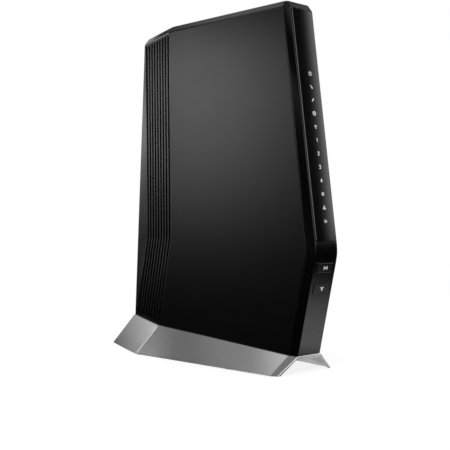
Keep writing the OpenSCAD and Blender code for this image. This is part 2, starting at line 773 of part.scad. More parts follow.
// A front button: its cap, the lips above and below it and the post on its switch
module button(v) {
    lower_face() translate([0, v, 0]) {
        translate([0, 0, lip_z - sink_in]) linear_extrude(button_proud - lip_z + sink_in)
            rounded(button_w, button_h, button_r);
        translate([0, 0, lip_z - button_lip_t]) linear_extrude(button_lip_t)
            rounded(button_w, button_h + 2 * button_lip, button_r);
        translate([0, 0, post_z]) cylinder(r = plunger_r + fit, h = button_post + sink_in);
    }
}
module wifi_button() { color(satin_black) button(button_v[0]); }
module sync_button() { color(satin_black) button(button_v[1]); }

// The plunger that the button's post presses into its switch
module plunger(v) {
    lower_face() translate([0, v, switch_z - switch_h / 2])
        cylinder(r = plunger_r, h = post_z - switch_z + switch_h / 2);
}
module wifi_plunger() { color(rubber_black) plunger(button_v[0]); }
module sync_plunger() { color(rubber_black) plunger(button_v[1]); }

module button_switches() {
    color(steel) lower_face() for (v = button_v) translate([0, v, 0]) difference() {
        block([switch_w, switch_w, switch_h], switch_z);
        translate([0, 0, button_board_z + fit]) cylinder(r = plunger_r + button_gap, h = switch_h + past);
    }
}
module button_board() {
    color(board_green) lower_face() difference() {
        small_board(button_boss_v[1] - board_end, button_board_l, button_board_z);
        for (v = button_boss_v) translate([0, v, button_board_z - past - small_board_t])
            cylinder(r = screw_r + fit, h = small_board_t + 2 * past);
    }
}
module button_board_screws() {
    color(steel) lower_face() for (v = button_boss_v)
        translate([0, v, button_board_z - small_board_t]) mirror([0, 0, 1]) screw();
}

// Rear panel and its ports, stacked upwards from the lowest

inlet_v = port_low + inlet_size.x / 2;
power_v = inlet_v + inlet_size.x / 2 + port_gap + power_switch_size.x / 2;
coax_v = power_v + power_switch_size.x / 2 + port_gap + max(coax_size.x, nut_w * 1.16) / 2;
lan_v = [for (i = [0:lan_count - 1]) coax_v + max(coax_size.x, nut_w * 1.16) / 2 + port_gap
    + jack_size.x / 2 + i * (jack_size.x + port_gap / 2)];
fast_lan_v = lan_v[lan_count - 1] + jack_size.x + port_gap;
usb_v = fast_lan_v + jack_size.x / 2 + port_gap + usb_size.x / 2;
reset_v = usb_v + usb_size.x / 2 + port_gap + reset_switch_size.x / 2;
// Across the rear panel, the middle of a socket that stands thickness off the board
function port_x(thickness) = -board_x - board_t - thickness / 2;
mid_x = port_x(jack_size.y);
panel_gap = 0.4;
inner_z = -wall - panel_gap;

// A socket's block: width up the panel, thickness off the board, depth into the housing
module socket_block(size, v, z) {
    translate([port_x(size.y), v, 0]) block([size.y, size.x, size.z], z);
}

module rear_panel() {
    color(satin_black) difference() {
        housing_wall(rear_run, wall, [seam_gap, seam_gap]);
        rear_face() {
            for (v = concat(lan_v, [fast_lan_v]))
                socket_block(jack_size + [2 * fit, 2 * fit, 0], v, past);
            socket_block(usb_size + [2 * fit, 2 * fit, 0], usb_v, past);
            translate([mid_x, coax_v, -wall - past])
                cylinder(r = coax_r + coax_collar + fit, h = wall + 2 * past);
            translate([mid_x, inlet_v, -wall - past])
                cylinder(r = inlet_nose_r + fit, h = wall + 2 * past);
            translate([mid_x, power_v, -wall - past]) linear_extrude(wall + 2 * past)
                rounded(power_w + 2 * button_gap, power_w + 2 * button_gap, button_r);
            translate([mid_x, reset_v, -wall - past]) cylinder(r = reset_r, h = wall + 2 * past);
        }
    }
}

// A network socket: its block, the plug's mouth and the notch for the plug's latch
module lan_jack(v) {
    color(steel) rear_face() difference() {
        socket_block(jack_size, v, -port_back);
        translate([mid_x, v, 0]) {
            block([jack_mouth.y, jack_mouth.x, jack_mouth.z + past], past);
            translate([jack_mouth.y / 2, 0, 0])
                block([2 * jack_notch.y, jack_notch.x, jack_mouth.z + past], past);
        }
    }
}
module fast_lan_jack() { lan_jack(fast_lan_v); }

module usb_socket() {
    mouth = usb_size - [2 * usb_wall, 2 * usb_wall, usb_rear];
    color(steel) rear_face() {
        difference() {
            socket_block(usb_size, usb_v, -port_back);
            translate([port_x(usb_size.y), usb_v, 0])
                block([mouth.y, mouth.x, mouth.z + past], past - port_back);
        }
        translate([port_x(usb_size.y) + mouth.y / 2 - usb_tongue / 2 - usb_tongue_gap, usb_v, 0])
            block([usb_tongue, mouth.x - 2 * usb_inset, usb_size.z - 2 * usb_inset], -port_back - usb_inset);
    }
}

module coax_connector() {
    color(brass_gold) rear_face() difference() {
        union() {
            socket_block(coax_size, coax_v, inner_z);
            translate([mid_x, coax_v, inner_z - sink_in])
                cylinder(r = coax_r + coax_collar, h = nut_t - inner_z + sink_in);
            translate([mid_x, coax_v, 0]) cylinder(r = coax_r, h = nut_t + coax_out);
        }
        translate([mid_x, coax_v, inner_z]) cylinder(r = coax_bore_r, h = nut_t + coax_out + past - inner_z);
    }
}
module coax_nut() {
    color(steel) rear_face() translate([mid_x, coax_v, 0]) difference() {
        cylinder(d = nut_w / cos(30), h = nut_t, $fn = 6);
        translate([0, 0, -past]) cylinder(r = coax_r + coax_collar + fit / 2, h = nut_t + 2 * past);
    }
}

module power_inlet() {
    color(rubber_black) rear_face() {
        difference() {
            union() {
                socket_block(inlet_size, inlet_v, inner_z);
                translate([mid_x, inlet_v, inner_z - sink_in])
                    cylinder(r = inlet_nose_r, h = sink_in - inner_z - port_back);
            }
            translate([mid_x, inlet_v, -port_back - inlet_bore])
                cylinder(r = inlet_r, h = inlet_bore + past);
        }
        translate([mid_x, inlet_v, -port_back - inlet_bore - sink_in])
            cylinder(r = inlet_pin_r, h = inlet_bore + sink_in - inlet_pin_in);
    }
}

// Power button: cap, lip behind the panel and stem in the switch
power_stem = 6;
power_lip_z = -wall - button_gap;
power_switch_z = power_lip_z - button_lip_t - power_travel - panel_gap;
stem_r = 2;
module power_button() {
    color(satin_black) rear_face() translate([mid_x, power_v, 0]) {
        translate([0, 0, power_lip_z - sink_in]) linear_extrude(power_proud - power_lip_z + sink_in)
            rounded(power_w, power_w, button_r);
        translate([0, 0, power_lip_z - button_lip_t]) linear_extrude(button_lip_t)
            rounded(power_w + 2 * button_lip, power_w + 2 * button_lip, button_r);
        translate([0, 0, power_lip_z - button_lip_t - power_stem])
            cylinder(r = stem_r, h = power_stem + sink_in);
    }
}
module power_switch() {
    color(rubber_black) rear_face() difference() {
        socket_block(power_switch_size, power_v, power_switch_z);
        translate([mid_x, power_v, power_lip_z - button_lip_t - power_stem - power_travel - panel_gap])
            cylinder(r = stem_r + button_gap, h = power_stem + 2 * past);
    }
}

// Reset button: a small disc behind its hole, with a stem in the switch
reset_lip_t = 1;
reset_stem = 2.5;
reset_switch_z = inner_z - reset_lip_t - reset_travel - panel_gap;
module reset_button() {
    color(satin_black) rear_face() translate([mid_x, reset_v, inner_z]) {
        translate([0, 0, -reset_lip_t]) cylinder(r = reset_r + reset_rim, h = reset_lip_t);
        translate([0, 0, -reset_lip_t - reset_stem]) cylinder(r = reset_r, h = reset_stem + sink_in);
    }
}
module reset_switch() {
    depth = reset_stem + reset_travel + panel_gap;
    color(rubber_black) rear_face() difference() {
        socket_block(reset_switch_size, reset_v, reset_switch_z);
        translate([mid_x, reset_v, inner_z - reset_lip_t - depth])
            cylinder(r = reset_r + button_gap, h = depth + past);
    }
}

// Main board and what stands on it

board_back = 4;
function rear_y(z) = corner(z).y - board_back / cos(rear_lean);
board_front_y = nose_y + board_front_d;
sink_y = (standoff_y[0] + standoff_y[1]) / 2;
processor_z = (standoff_z[1] + standoff_z[2]) / 2;
modem_z = (standoff_z[0] + standoff_z[1]) / 2;

module main_board() {
    color(board_green) translate([board_x, 0, 0]) rotate([90, 0, 90]) difference() {
        linear_extrude(board_t) polygon([[board_front_y, board_low], [rear_y(board_low), board_low],
            [rear_y(board_high), board_high], [board_front_y, board_high]]);
        for (y = standoff_y, z = standoff_z) translate([y, z, -past])
            cylinder(r = screw_r + fit, h = board_t + 2 * past);
    }
}
module board_screws() {
    color(steel) board_face() for (y = standoff_y, z = standoff_z) translate([y, z, 0]) screw();
}
module chips() {
    color(gloss_black) board_face() for (z = [processor_z, modem_z])
        translate([sink_y, z, chip_h]) block([chip_w, chip_w, chip_h]);
}

// Heat sink on a chip: base, upright fins and four legs on the board
module heat_sink(z) {
    fin_pitch = (sink_w - fin_t) / (fin_count - 1);
    color(steel) board_face() translate([sink_y, z, 0]) {
        translate([0, 0, chip_h + sink_base]) block([sink_w, sink_l, sink_base]);
        for (i = [0:fin_count - 1])
            translate([-sink_w / 2 + i * fin_pitch, -sink_l / 2, chip_h + sink_base - sink_in])
                cube([fin_t, sink_l, fin_h + sink_in]);
        for (x = [-1, 1], y = [-1, 1])
            translate([x * (sink_w / 2 - leg_r - past), y * (sink_l / 2 - leg_r), 0])
                cylinder(r = leg_r, h = chip_h + sink_in);
    }
}
module processor_heat_sink() { heat_sink(processor_z); }
module modem_heat_sink() { heat_sink(modem_z); }

module radio_shields() {
    color(steel) translate([board_x, 0, 0]) rotate([90, 0, 90]) for (z = [processor_z, modem_z])
        translate([sink_y, z, 0]) block(shield_size);
}
module tuner_can() {
    color(steel) board_face() translate([corner_foot.y - tuner_back, coax_v + corner_foot_z, tuner_size.z])
        block(tuner_size);
}
module capacitors() {
    color(rubber_black) board_face() for (i = [0:2])
        translate([corner_foot.y - cap_back + i * (2 * cap_r + past), board_low + cap_r + past, 0])
            cylinder(r = cap_r, h = cap_h);
}

// Antenna boards on the inner face of the right cover: one upright, one level near the top
module wall_board(y, z, size) {
    translate([panel_x(y) - wall / cos(side_angle), y, z]) rotate([0, 0, -side_angle])
        translate([-size.x, -size.y / 2, -size.z / 2]) cube(size);
}
module antenna_pair() {
    color(brass_gold) {
        wall_board(nose_y + antenna_front, shoulder_z - antenna_down,
            [antenna_t, antenna_w, antenna_l]);
        wall_board(panel_top_y - antenna_back, shoulder_z - antenna_edge,
            [antenna_t, antenna_l, antenna_w]);
    }
}
module right_antennas() { antenna_pair(); }
module left_antennas() { mirror([1, 0, 0]) antenna_pair(); }

stand();
stand_feet();
stand_screws();
bottom_plate();
left_cover();
right_cover();
top_cap();
front_bezel();
led_window();
light_guide();
led_board();
led_lamps();
led_board_screws();
wifi_button();
sync_button();
button_board();
button_switches();
wifi_plunger();
sync_plunger();
button_board_screws();
rear_panel();
main_board();
board_screws();
chips();
processor_heat_sink();
modem_heat_sink();
radio_shields();
tuner_can();
capacitors();
coax_connector();
coax_nut();
for (i = [1:lan_count]) lan_jack(lan_v[i - 1]);
fast_lan_jack();
usb_socket();
power_inlet();
power_button();
power_switch();
reset_button();
reset_switch();
left_antennas();
right_antennas();
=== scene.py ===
"""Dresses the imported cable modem: finishes, softened edges, prints, contacts, screws, light and camera.

Sizes on the object are in millimetres and the studio's are in metres. The object's front looks to -Y.
"""
from __future__ import annotations

import json
import logging
import math
from dataclasses import dataclass, field
from enum import Enum
from typing import Any, Sequence, Union

import bmesh
import bpy
from mathutils import Euler, Matrix, Vector

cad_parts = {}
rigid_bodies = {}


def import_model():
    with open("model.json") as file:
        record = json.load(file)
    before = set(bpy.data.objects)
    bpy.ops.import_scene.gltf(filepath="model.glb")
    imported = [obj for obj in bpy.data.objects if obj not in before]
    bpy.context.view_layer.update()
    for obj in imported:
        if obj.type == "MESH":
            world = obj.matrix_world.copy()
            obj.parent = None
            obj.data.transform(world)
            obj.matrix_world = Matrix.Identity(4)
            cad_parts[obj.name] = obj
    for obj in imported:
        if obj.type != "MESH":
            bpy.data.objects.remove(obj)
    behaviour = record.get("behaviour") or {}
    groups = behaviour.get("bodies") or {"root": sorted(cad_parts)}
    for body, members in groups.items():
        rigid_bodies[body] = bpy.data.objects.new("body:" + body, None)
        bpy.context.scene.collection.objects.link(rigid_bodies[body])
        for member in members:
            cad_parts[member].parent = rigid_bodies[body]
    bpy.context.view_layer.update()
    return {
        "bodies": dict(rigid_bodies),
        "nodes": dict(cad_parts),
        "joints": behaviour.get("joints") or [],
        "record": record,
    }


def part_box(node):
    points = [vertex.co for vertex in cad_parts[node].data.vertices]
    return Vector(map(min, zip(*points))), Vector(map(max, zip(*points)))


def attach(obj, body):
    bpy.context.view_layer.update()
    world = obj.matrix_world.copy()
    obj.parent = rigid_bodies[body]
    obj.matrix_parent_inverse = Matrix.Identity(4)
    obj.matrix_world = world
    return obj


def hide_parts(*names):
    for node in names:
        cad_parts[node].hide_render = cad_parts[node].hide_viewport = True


LOG = logging.getLogger("cable_modem")
Colour = tuple[float, float, float]
Point = tuple[float, float]
Triple = tuple[float, float, float]
Ramp = tuple[float, float, float, float]
Row = tuple[int, float, float]
Socket = bpy.types.NodeSocket
Input = Union[float, Sequence[float], "Value", Socket, bpy.types.ID]
MM = 0.001
PER_METRE = 1000.0
STILL: Triple = (0.0, 0.0, 0.0)
WHITE = (1.0, 1.0, 1.0, 1.0)
# How quickly the finer layers of noise fade
NOISE_FADE = 0.55
# Width of the rounding round an opening, in millimetres
FINE_ROUND = 0.12
# Corners nearer than this are one corner, in metres
SAME_PLACE = 2e-6
# Edges shorter than this are taken out, in metres
NO_LENGTH = 1e-6
# Faces that meet at less than this become one face
FLAT_DEGREES = 0.6
# Faces with more corners than this are split before they are rounded
CROWDED = 24
# Largest angles that are shaded smooth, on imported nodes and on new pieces
NODE_SMOOTH = 48.0
PIECE_SMOOTH = 40.0
# Height of a print over the face under it, in millimetres
PRINT_GAP = 0.004


class Value:
    """A number socket of a shader tree; Python operators on it add Math nodes."""

    def __init__(self, shader: "Shader", socket: Socket) -> None:
        """Wraps one socket of one shader."""
        self.shader = shader
        self.socket = socket

    def _math(self, operation: str, first: Input, second: Input) -> "Value":
        """Adds one Math node.

        Args:
            operation: the Math node's operation.
            first: its first number.
            second: its second number.

        Returns:
            The node's result.
        """
        return self.shader.number("ShaderNodeMath", {"operation": operation}, {0: first, 1: second})

    def __add__(self, other: Input) -> "Value":
        """Sum."""
        return self._math("ADD", self, other)

    def __radd__(self, other: Input) -> "Value":
        """Sum with a plain number on the left."""
        return self._math("ADD", other, self)

    def __sub__(self, other: Input) -> "Value":
        """Difference."""
        return self._math("SUBTRACT", self, other)

    def __rsub__(self, other: Input) -> "Value":
        """Difference with a plain number on the left."""
        return self._math("SUBTRACT", other, self)

    def __mul__(self, other: Input) -> "Value":
        """Product."""
        return self._math("MULTIPLY", self, other)

    def __rmul__(self, other: Input) -> "Value":
        """Product with a plain number on the left."""
        return self._math("MULTIPLY", other, self)

    def above(self, limit: float) -> "Value":
        """One where the value is above the limit, else zero."""
        return self._math("GREATER_THAN", self, limit)

    def larger(self, other: Input) -> "Value":
        """The larger of two values."""
        return self._math("MAXIMUM", self, other)

    def rise(self, start: float, end: float) -> "Value":
        """Goes smoothly from zero at start to one at end."""
        return self.shader.number("ShaderNodeMapRange", {"interpolation_type": "SMOOTHSTEP"},
                                  {"Value": self, "From Min": start, "From Max": end})

    def band(self, start: float, full: float, fade: float, end: float) -> "Value":
        """Rises from start to full and falls again from fade to end."""
        return self.rise(start, full) * (1.0 - self.rise(fade, end))


class Tree:
    """A node tree that is filled node by node."""

    def __init__(self, tree: bpy.types.NodeTree) -> None:
        """Clears the tree and keeps it."""
        self.tree = tree
        tree.nodes.clear()

    def add(self, kind: str, settings: dict[str, Any] | None = None,
            inputs: dict[Any, Input | list[Input]] | None = None) -> bpy.types.Node:
        """Adds a node.

        Args:
            kind: the node's type.
            settings: properties that are set first; "stops" fills a colour ramp.
            inputs: numbers, colours, vectors or links by socket name or place; a list makes several links.

        Returns:
            The new node.
        """
        node = self.tree.nodes.new(kind)
        for key, setting in (settings or {}).items():
            if key == "stops":
                self._stops(node.color_ramp, setting)
            else:
                setattr(node, key, setting)
        for key, given in (inputs or {}).items():
            for single in given if isinstance(given, list) else [given]:
                self._fill(node.inputs[key], single)
        return node

    def _fill(self, socket: Socket, given: Input) -> None:
        """Links an input or sets its own value.

        Args:
            socket: the input.
            given: a socket to link from, or what the input is set to.
        """
        if isinstance(given, Value):
            given = given.socket
        if isinstance(given, Socket):
            self.tree.links.new(given, socket)
        else:
            socket.default_value = given

    @staticmethod
    def _stops(ramp: bpy.types.ColorRamp, stops: Sequence[Point]) -> None:
        """Fills a ramp with grey stops.

        Args:
            ramp: the ramp of a node.
            stops: the stops' places and levels.
        """
        while len(ramp.elements) < len(stops):
            ramp.elements.new(1.0)
        for element, (place, level) in zip(ramp.elements, stops):
            element.position = place
            element.color = (level, level, level, 1.0)


class Shader(Tree):
    """The node tree of one material or of the world."""

    def number(self, kind: str, settings: dict[str, Any] | None = None,
               inputs: dict[Any, Input] | None = None, output: Any = 0) -> Value:
        """Adds a node and wraps one of its number outputs."""
        return Value(self, self.add(kind, settings, inputs).outputs[output])

    def place(self) -> Socket:
        """Object coordinates in metres."""
        return self.add("ShaderNodeTexCoord").outputs["Object"]

    def stretched(self, scale: Triple) -> Socket:
        """Object coordinates, scaled by a Mapping node."""
        return self.add("ShaderNodeMapping", None, {"Vector": self.place(), "Scale": scale}).outputs[0]

    def noise(self, vector: Socket, size_mm: float, detail: float = 2.0) -> Value:
        """Noise whose features are about size_mm wide."""
        return self.number("ShaderNodeTexNoise", {"noise_dimensions": "3D"},
                           {"Vector": vector, "Scale": PER_METRE / size_mm, "Detail": detail,
                            "Roughness": NOISE_FADE})

    def cells(self, feature: str, size_mm: float, randomness: float) -> Value:
        """Distances in a pattern of cells about size_mm wide."""
        return self.number("ShaderNodeTexVoronoi", {"feature": feature},
                           {"Vector": self.place(), "Scale": PER_METRE / size_mm, "Randomness": randomness})

    def ramp(self, factor: Value, stops: Sequence[Point]) -> Value:
        """Sends a factor through grey stops."""
        return self.number("ShaderNodeValToRGB", {"stops": stops}, {"Fac": factor})

    def tint(self, factor: Input, low: Input, high: Colour) -> Socket:
        """Mixes two colours by a factor; the first may come from a socket."""
        first = low if isinstance(low, Socket) else (*low, 1.0)
        return self.add("ShaderNodeMix", {"data_type": "RGBA"},
                        {0: factor, 6: first, 7: (*high, 1.0)}).outputs[2]

    def bump(self, height: Value, depth_mm: float, strength: float) -> Socket:
        """Turns a height of 0 to 1 into a normal."""
        return self.add("ShaderNodeBump", None,
                        {"Height": height, "Distance": depth_mm * MM, "Strength": strength}).outputs[0]

    def light(self, kind: str, level: float) -> Socket:
        """White light of one level, as an emission or a background."""
        return self.add(kind, None, {"Color": WHITE, "Strength": level}).outputs[0]

    def matte(self, grey: float) -> Socket:
        """A plain grey surface."""
        return self.add("ShaderNodeBsdfDiffuse", None, {"Color": (grey, grey, grey, 1.0)}).outputs[0]

    def blend(self, factor: Value, first: Socket, second: Socket) -> Socket:
        """Mixes two shaders by a factor."""
        return self.add("ShaderNodeMixShader", None, {0: factor, 1: first, 2: second}).outputs[0]

    def shown(self, result: Socket, kind: str = "ShaderNodeOutputMaterial") -> None:
        """Ends the tree in its output."""
        self.add(kind, None, {"Surface": result})

    def surface(self, inputs: dict[Any, Input]) -> None:
        """Adds the surface shader and the material's output."""
        self.shown(self.add("ShaderNodeBsdfPrincipled", None, inputs).outputs[0])


def node_material(name: str) -> bpy.types.Material:
    """Makes a material that takes nodes.

    Args:
        name: the material's name.

    Returns:
        The material.
    """
    made = bpy.data.materials.new(name)
    made.use_nodes = True
    return made


@dataclass(frozen=True)
class Grain:
    """Fine texture of a surface: its size and depth in millimetres, and how much of it shows."""

    size: float = 0.5
    depth: float = 0.02
    strength: float = 0.15


@dataclass(frozen=True)
class Finish:
    """A surface that can be given to pieces.

    The colour is linear. The two shades around it, the grain and the roughness vary over the surface.
    """

    name: str
    slot: str
    colour: Colour
    roughness: float
    spread: float = 0.05
    shade: float = 0.12
    grain: Grain = Grain()
    specular: float = 0.5
    coat: float = 0.0
    coat_roughness: float = 0.06
    cloud_mm: float = 38.0

    def shades(self) -> tuple[Colour, Colour]:
        """The shades that the surface varies between.

        Returns:
            The darker and the lighter shade of the colour.
        """
        low = tuple(c * (1.0 - self.shade) for c in self.colour)
        high = tuple(min(1.0, c * (1.0 + self.shade)) for c in self.colour)
        return low, high

    def material(self) -> bpy.types.Material:
        """Makes the finish's material, once.

        Returns:
            The material.
        """
        made = bpy.data.materials.get(self.name)
        if made is None:
            made = node_material(self.name)
            made.diffuse_color = (*self.colour, 1.0)
            self.fill(Shader(made.node_tree))
        return made

    def shine(self) -> dict[str, Input]:
        """The inputs of the surface shader that stay the same all over."""
        return {"Specular IOR Level": self.specular, "Coat Weight": self.coat,
                "Coat Roughness": self.coat_roughness}

    def bumps(self, shader: Shader, height: Value) -> Socket:
        """The normal of a height that is as deep as the grain."""
        return shader.bump(height, self.grain.depth, self.grain.strength)

    def fill(self, shader: Shader) -> None:
        """Draws the finish: fine grain, soft cloudy shades and worn patches.

        Args:
            shader: the material's empty tree.
        """
        grain = shader.noise(shader.place(), self.grain.size, 3.0)
        cloud = shader.noise(shader.place(), self.cloud_mm, 3.0)
        shader.surface(self.shine() | {
            "Base Color": shader.tint(cloud, *self.shades()),
            "Roughness": self.roughness + self.spread * (cloud - 0.5) + 0.5 * self.spread * (grain - 0.5),
            "Normal": self.bumps(shader, grain),
        })


@dataclass(frozen=True)
class MetalFinish(Finish):
    """Metal or metallic paint with streaks along one direction."""

    coat_roughness: float = 0.2
    cloud_mm: float = 26.0
    flake_mm: float = 0.25
    streak_scale: Triple = (1.0, 0.04, 1.0)

    def fill(self, shader: Shader) -> None:
        """Draws streaks, sparkling flakes and soft blotches.

        Args:
            shader: the material's empty tree.
        """
        streak = shader.noise(shader.stretched(self.streak_scale), self.grain.size)
        flake = shader.noise(shader.place(), self.flake_mm, 1.0)
        cloud = shader.noise(shader.place(), self.cloud_mm, 3.0)
        shader.surface(self.shine() | {
            "Base Color": shader.tint(0.5 * cloud + 0.5 * streak, *self.shades()),
            "Roughness": self.roughness + self.spread * (streak - 0.5) + self.spread * (cloud - 0.5),
            "Metallic": 1.0,
            "Normal": self.bumps(shader, 0.7 * streak + 0.3 * flake),
        })


@dataclass(frozen=True)
class BoardFinish(Finish):
    """Solder mask over copper: raised tracks, ground areas and small gold pads."""

    grain: Grain = Grain(depth=0.04, strength=0.5)
    coat_roughness: float = 0.15
    cloud_mm: float = 5.0
    copper: Colour = (0.72, 0.5, 0.2)
    track_mm: float = 2.4

    def fill(self, shader: Shader) -> None:
        """Draws tracks as cell borders, pads as small cells' middles.

        Args:
            shader: the material's empty tree.
        """
        border = shader.cells("DISTANCE_TO_EDGE", 2.2 * self.track_mm, 0.55)
        middle = shader.cells("F1", self.track_mm, 0.35)
        track = shader.ramp(border, [(0.0, 1.0), (0.06, 1.0), (0.09, 0.0)])
        pad = shader.ramp(middle, [(0.0, 1.0), (0.16, 1.0), (0.2, 0.0)])
        cloud = shader.noise(shader.place(), self.cloud_mm)
        mask = shader.tint(0.6 * track + 0.4 * cloud, *self.shades())
        shader.surface(self.shine() | {
            "Base Color": shader.tint(pad, mask, self.copper),
            "Roughness": self.roughness - 0.12 * pad + self.spread * (cloud - 0.5),
            "Metallic": 0.9 * pad,
            "Normal": self.bumps(shader, 0.7 * track + 0.3 * pad),
        })


@dataclass(frozen=True)
class GlowFinish(Finish):
    """Milky plastic or printed ink with a glow: lamp light behind the window signs and the jack lamps, a
    painted glow on the button signs.
    """

    glow: float = 0.0
    glow_colour: Colour = (1.0, 1.0, 1.0)

    def fill(self, shader: Shader) -> None:
        """Draws a faint mottle in the milk and the glow over it.

        Args:
            shader: the material's empty tree.
        """
        mottle = shader.noise(shader.place(), self.grain.size)
        dim = tuple(0.9 * c for c in self.glow_colour)
        shader.surface(self.shine() | {
            "Base Color": shader.tint(mottle, *self.shades()),
            "Roughness": self.roughness + self.spread * (mottle - 0.5),
            "Emission Color": shader.tint(mottle, dim, self.glow_colour),
            "Emission Strength": self.glow,
            "Normal": self.bumps(shader, mottle),
        })


class Finishes(Enum):
    """Every finish on the object."""

    HOUSING = Finish("satin_black_moulding", "housing_plastic", (0.003, 0.0031, 0.0032), 0.24,
                     spread=0.04, shade=0.2, grain=Grain(0.35, 0.01, 0.1))
    BEZEL = Finish("bezel_black_moulding", "bezel_plastic", (0.002, 0.0021, 0.0021), 0.18,
                   spread=0.04, shade=0.2, grain=Grain(0.4, 0.01, 0.08))
    BUTTON = Finish("button_black_moulding", "button_plastic", (0.004, 0.0042, 0.0043), 0.26,
                    shade=0.2, grain=Grain(0.3, 0.01, 0.12))
    WINDOW = Finish("smoked_lamp_window", "window_plastic", (0.0015, 0.0016, 0.0017), 0.14,
                    spread=0.03, shade=0.3, grain=Grain(6.0, 0.004, 0.04))
    STAND = MetalFinish("silver_stand_paint", "stand_metal", (0.75, 0.747, 0.752), 0.22,
                        spread=0.04, shade=0.05, grain=Grain(0.3, 0.008, 0.18))
    RUBBER = Finish("foot_rubber_black", "foot_rubber", (0.02, 0.02, 0.02), 0.75,
                    spread=0.1, shade=0.25, grain=Grain(0.3, 0.03, 0.4))
    SCREW = MetalFinish("plated_screw_steel", "screw_steel", (0.5, 0.5, 0.51), 0.3,
                        spread=0.08, shade=0.1, grain=Grain(0.2, 0.005, 0.2))
    LIGHT = GlowFinish("milky_light_guide", "light_plastic", (0.82, 0.83, 0.84), 0.35,
                       shade=0.04, grain=Grain(2.0))
    BOARD = BoardFinish("dark_circuit_board", "circuit_board", (0.006, 0.02, 0.013), 0.42,
                        spread=0.1, shade=0.3, coat=0.3)
    INNER = Finish("inner_black_moulding", "inner_plastic", (0.012, 0.012, 0.012), 0.55,
                   spread=0.1, shade=0.25, grain=Grain(0.4, 0.02, 0.3))
    SINK = MetalFinish("extruded_aluminium", "sink_aluminium", (0.6, 0.61, 0.63), 0.4,
                       spread=0.1, shade=0.1, grain=Grain(0.3, 0.01, 0.25), streak_scale=(1.0, 1.0, 0.03))
    SHIELD = MetalFinish("tinned_shield_steel", "shield_steel", (0.56, 0.57, 0.58), 0.33,
                         spread=0.1, grain=Grain(0.4, 0.008, 0.2))
    BRASS = MetalFinish("plated_port_brass", "port_brass", (0.62, 0.5, 0.26), 0.28,
                        spread=0.08, grain=Grain(0.25, 0.006, 0.2))
    JACK = Finish("jack_black_moulding", "jack_plastic", (0.014, 0.014, 0.015), 0.48,
                  spread=0.08, shade=0.2, grain=Grain(0.5, 0.02, 0.2))
    ANTENNA = BoardFinish("antenna_laminate", "antenna_board", (0.3, 0.22, 0.07), 0.5,
                          spread=0.1, shade=0.2, track_mm=4.0)
    INK = GlowFinish("white_print_ink", "light_plastic", (0.8, 0.8, 0.8), 0.5,
                     shade=0.05, grain=Grain(0.4, 0.004, 0.2))
    # Glowing print: lamp light behind the window signs, and a painted glow on the button signs, which have
    # no lamp behind them
    LIT_AND_PAINTED_GLOW_PRINT = GlowFinish("lit_and_painted_glow_print", "light_plastic", (0.75, 0.75, 0.75), 0.4,
                      shade=0.05, grain=Grain(0.4, 0.004, 0.1), glow=0.35)
    GOLD = MetalFinish("gold_contact_plating", "port_brass", (0.9, 0.62, 0.22), 0.22,
                       spread=0.06, shade=0.08, grain=Grain(0.2, 0.004, 0.2))
    LINK_LAMP = GlowFinish("green_link_lamp", "light_plastic", (0.16, 0.5, 0.12), 0.3,
                           shade=0.1, glow=0.05, glow_colour=(0.3, 1.0, 0.2))


class Body(Enum):
    """The bodies that new pieces ride on."""

    HOUSING = "housing"
    WIFI = "wifi_button_body"
    SYNC = "sync_button_body"


@dataclass
class Face:
    """A flat frame on the object: x across, y up the face and z out of it, in millimetres."""

    origin: Triple
    across: Vector
    up: Vector
    out: Vector

    def matrix(self) -> Matrix:
        """Turns millimetres on the face into metres of the object."""
        turn = Matrix((self.across, self.up, self.out)).transposed().to_4x4()
        return Matrix.Translation(Vector(self.origin) * MM) @ turn @ Matrix.Scale(MM, 4)

    def turned_over(self, depth: float) -> "Face":
        """The frame that looks inwards from depth behind this one."""
        return Face(tuple(Vector(self.origin) - depth * self.out), -self.across, self.up, -self.out)


def leaning_face(origin: Triple, lean: float, rear: bool = False) -> Face:
    """A frame on the front or the rear of the housing.

    Args:
        origin: the frame's zero, in millimetres.
        lean: degrees by which the face leans back to the middle of the housing.
        rear: whether the face looks to the rear.

    Returns:
        The frame.
    """
    side = 1.0 if rear else -1.0
    a = math.radians(lean)
    return Face(origin, Vector((-side, 0.0, 0.0)), Vector((0.0, -side * math.sin(a), math.cos(a))),
                Vector((0.0, side * math.cos(a), math.sin(a))))


UPPER_FACE = leaning_face((0.0, -120.18, 93.81), 8.1)
LOWER_FACE = leaning_face((0.0, -119.63, 81.88), -13.4)
REAR_FACE = leaning_face((0.0, 90.408, 28.4285), 3.039, True)
SEAM_SLOPE = math.radians(4.4)
SEAM_FACE = Face((0.0, -120.5, 12.2), Vector((-1.0, 0.0, 0.0)),
                 Vector((0.0, math.cos(SEAM_SLOPE), math.sin(SEAM_SLOPE))),
                 Vector((0.0, math.sin(SEAM_SLOPE), -math.cos(SEAM_SLOPE))))
BOARD_FACE = Face((-6.8, 0.0, 0.0), Vector((0.0, 1.0, 0.0)), Vector((0.0, 0.0, 1.0)),
                  Vector((1.0, 0.0, 0.0)))


def linked(name: str, data: bpy.types.ID) -> bpy.types.Object:
    """Makes an object of some data and links it to the scene.

    Args:
        name: the object's name.
        data: its mesh, camera or light.

    Returns:
        The object.
    """
    made = bpy.data.objects.new(name, data)
    bpy.context.scene.collection.objects.link(made)
    return made


def solid(name: str, mesh: bmesh.types.BMesh) -> bpy.types.Object:
    """Makes an object of a mesh in metres.

    Args:
        name: the object's name.
        mesh: its shape, freed here.

    Returns:
        The object.
    """
    data = bpy.data.meshes.new(name)
    mesh.to_mesh(data)
    mesh.free()
    return linked(name, data)


def smoothed(data: bpy.types.Mesh, degrees: float) -> None:
    """Shades a mesh smooth where it turns by less than an angle."""
    data.shade_smooth()
    data.set_sharp_from_angle(angle=math.radians(degrees))


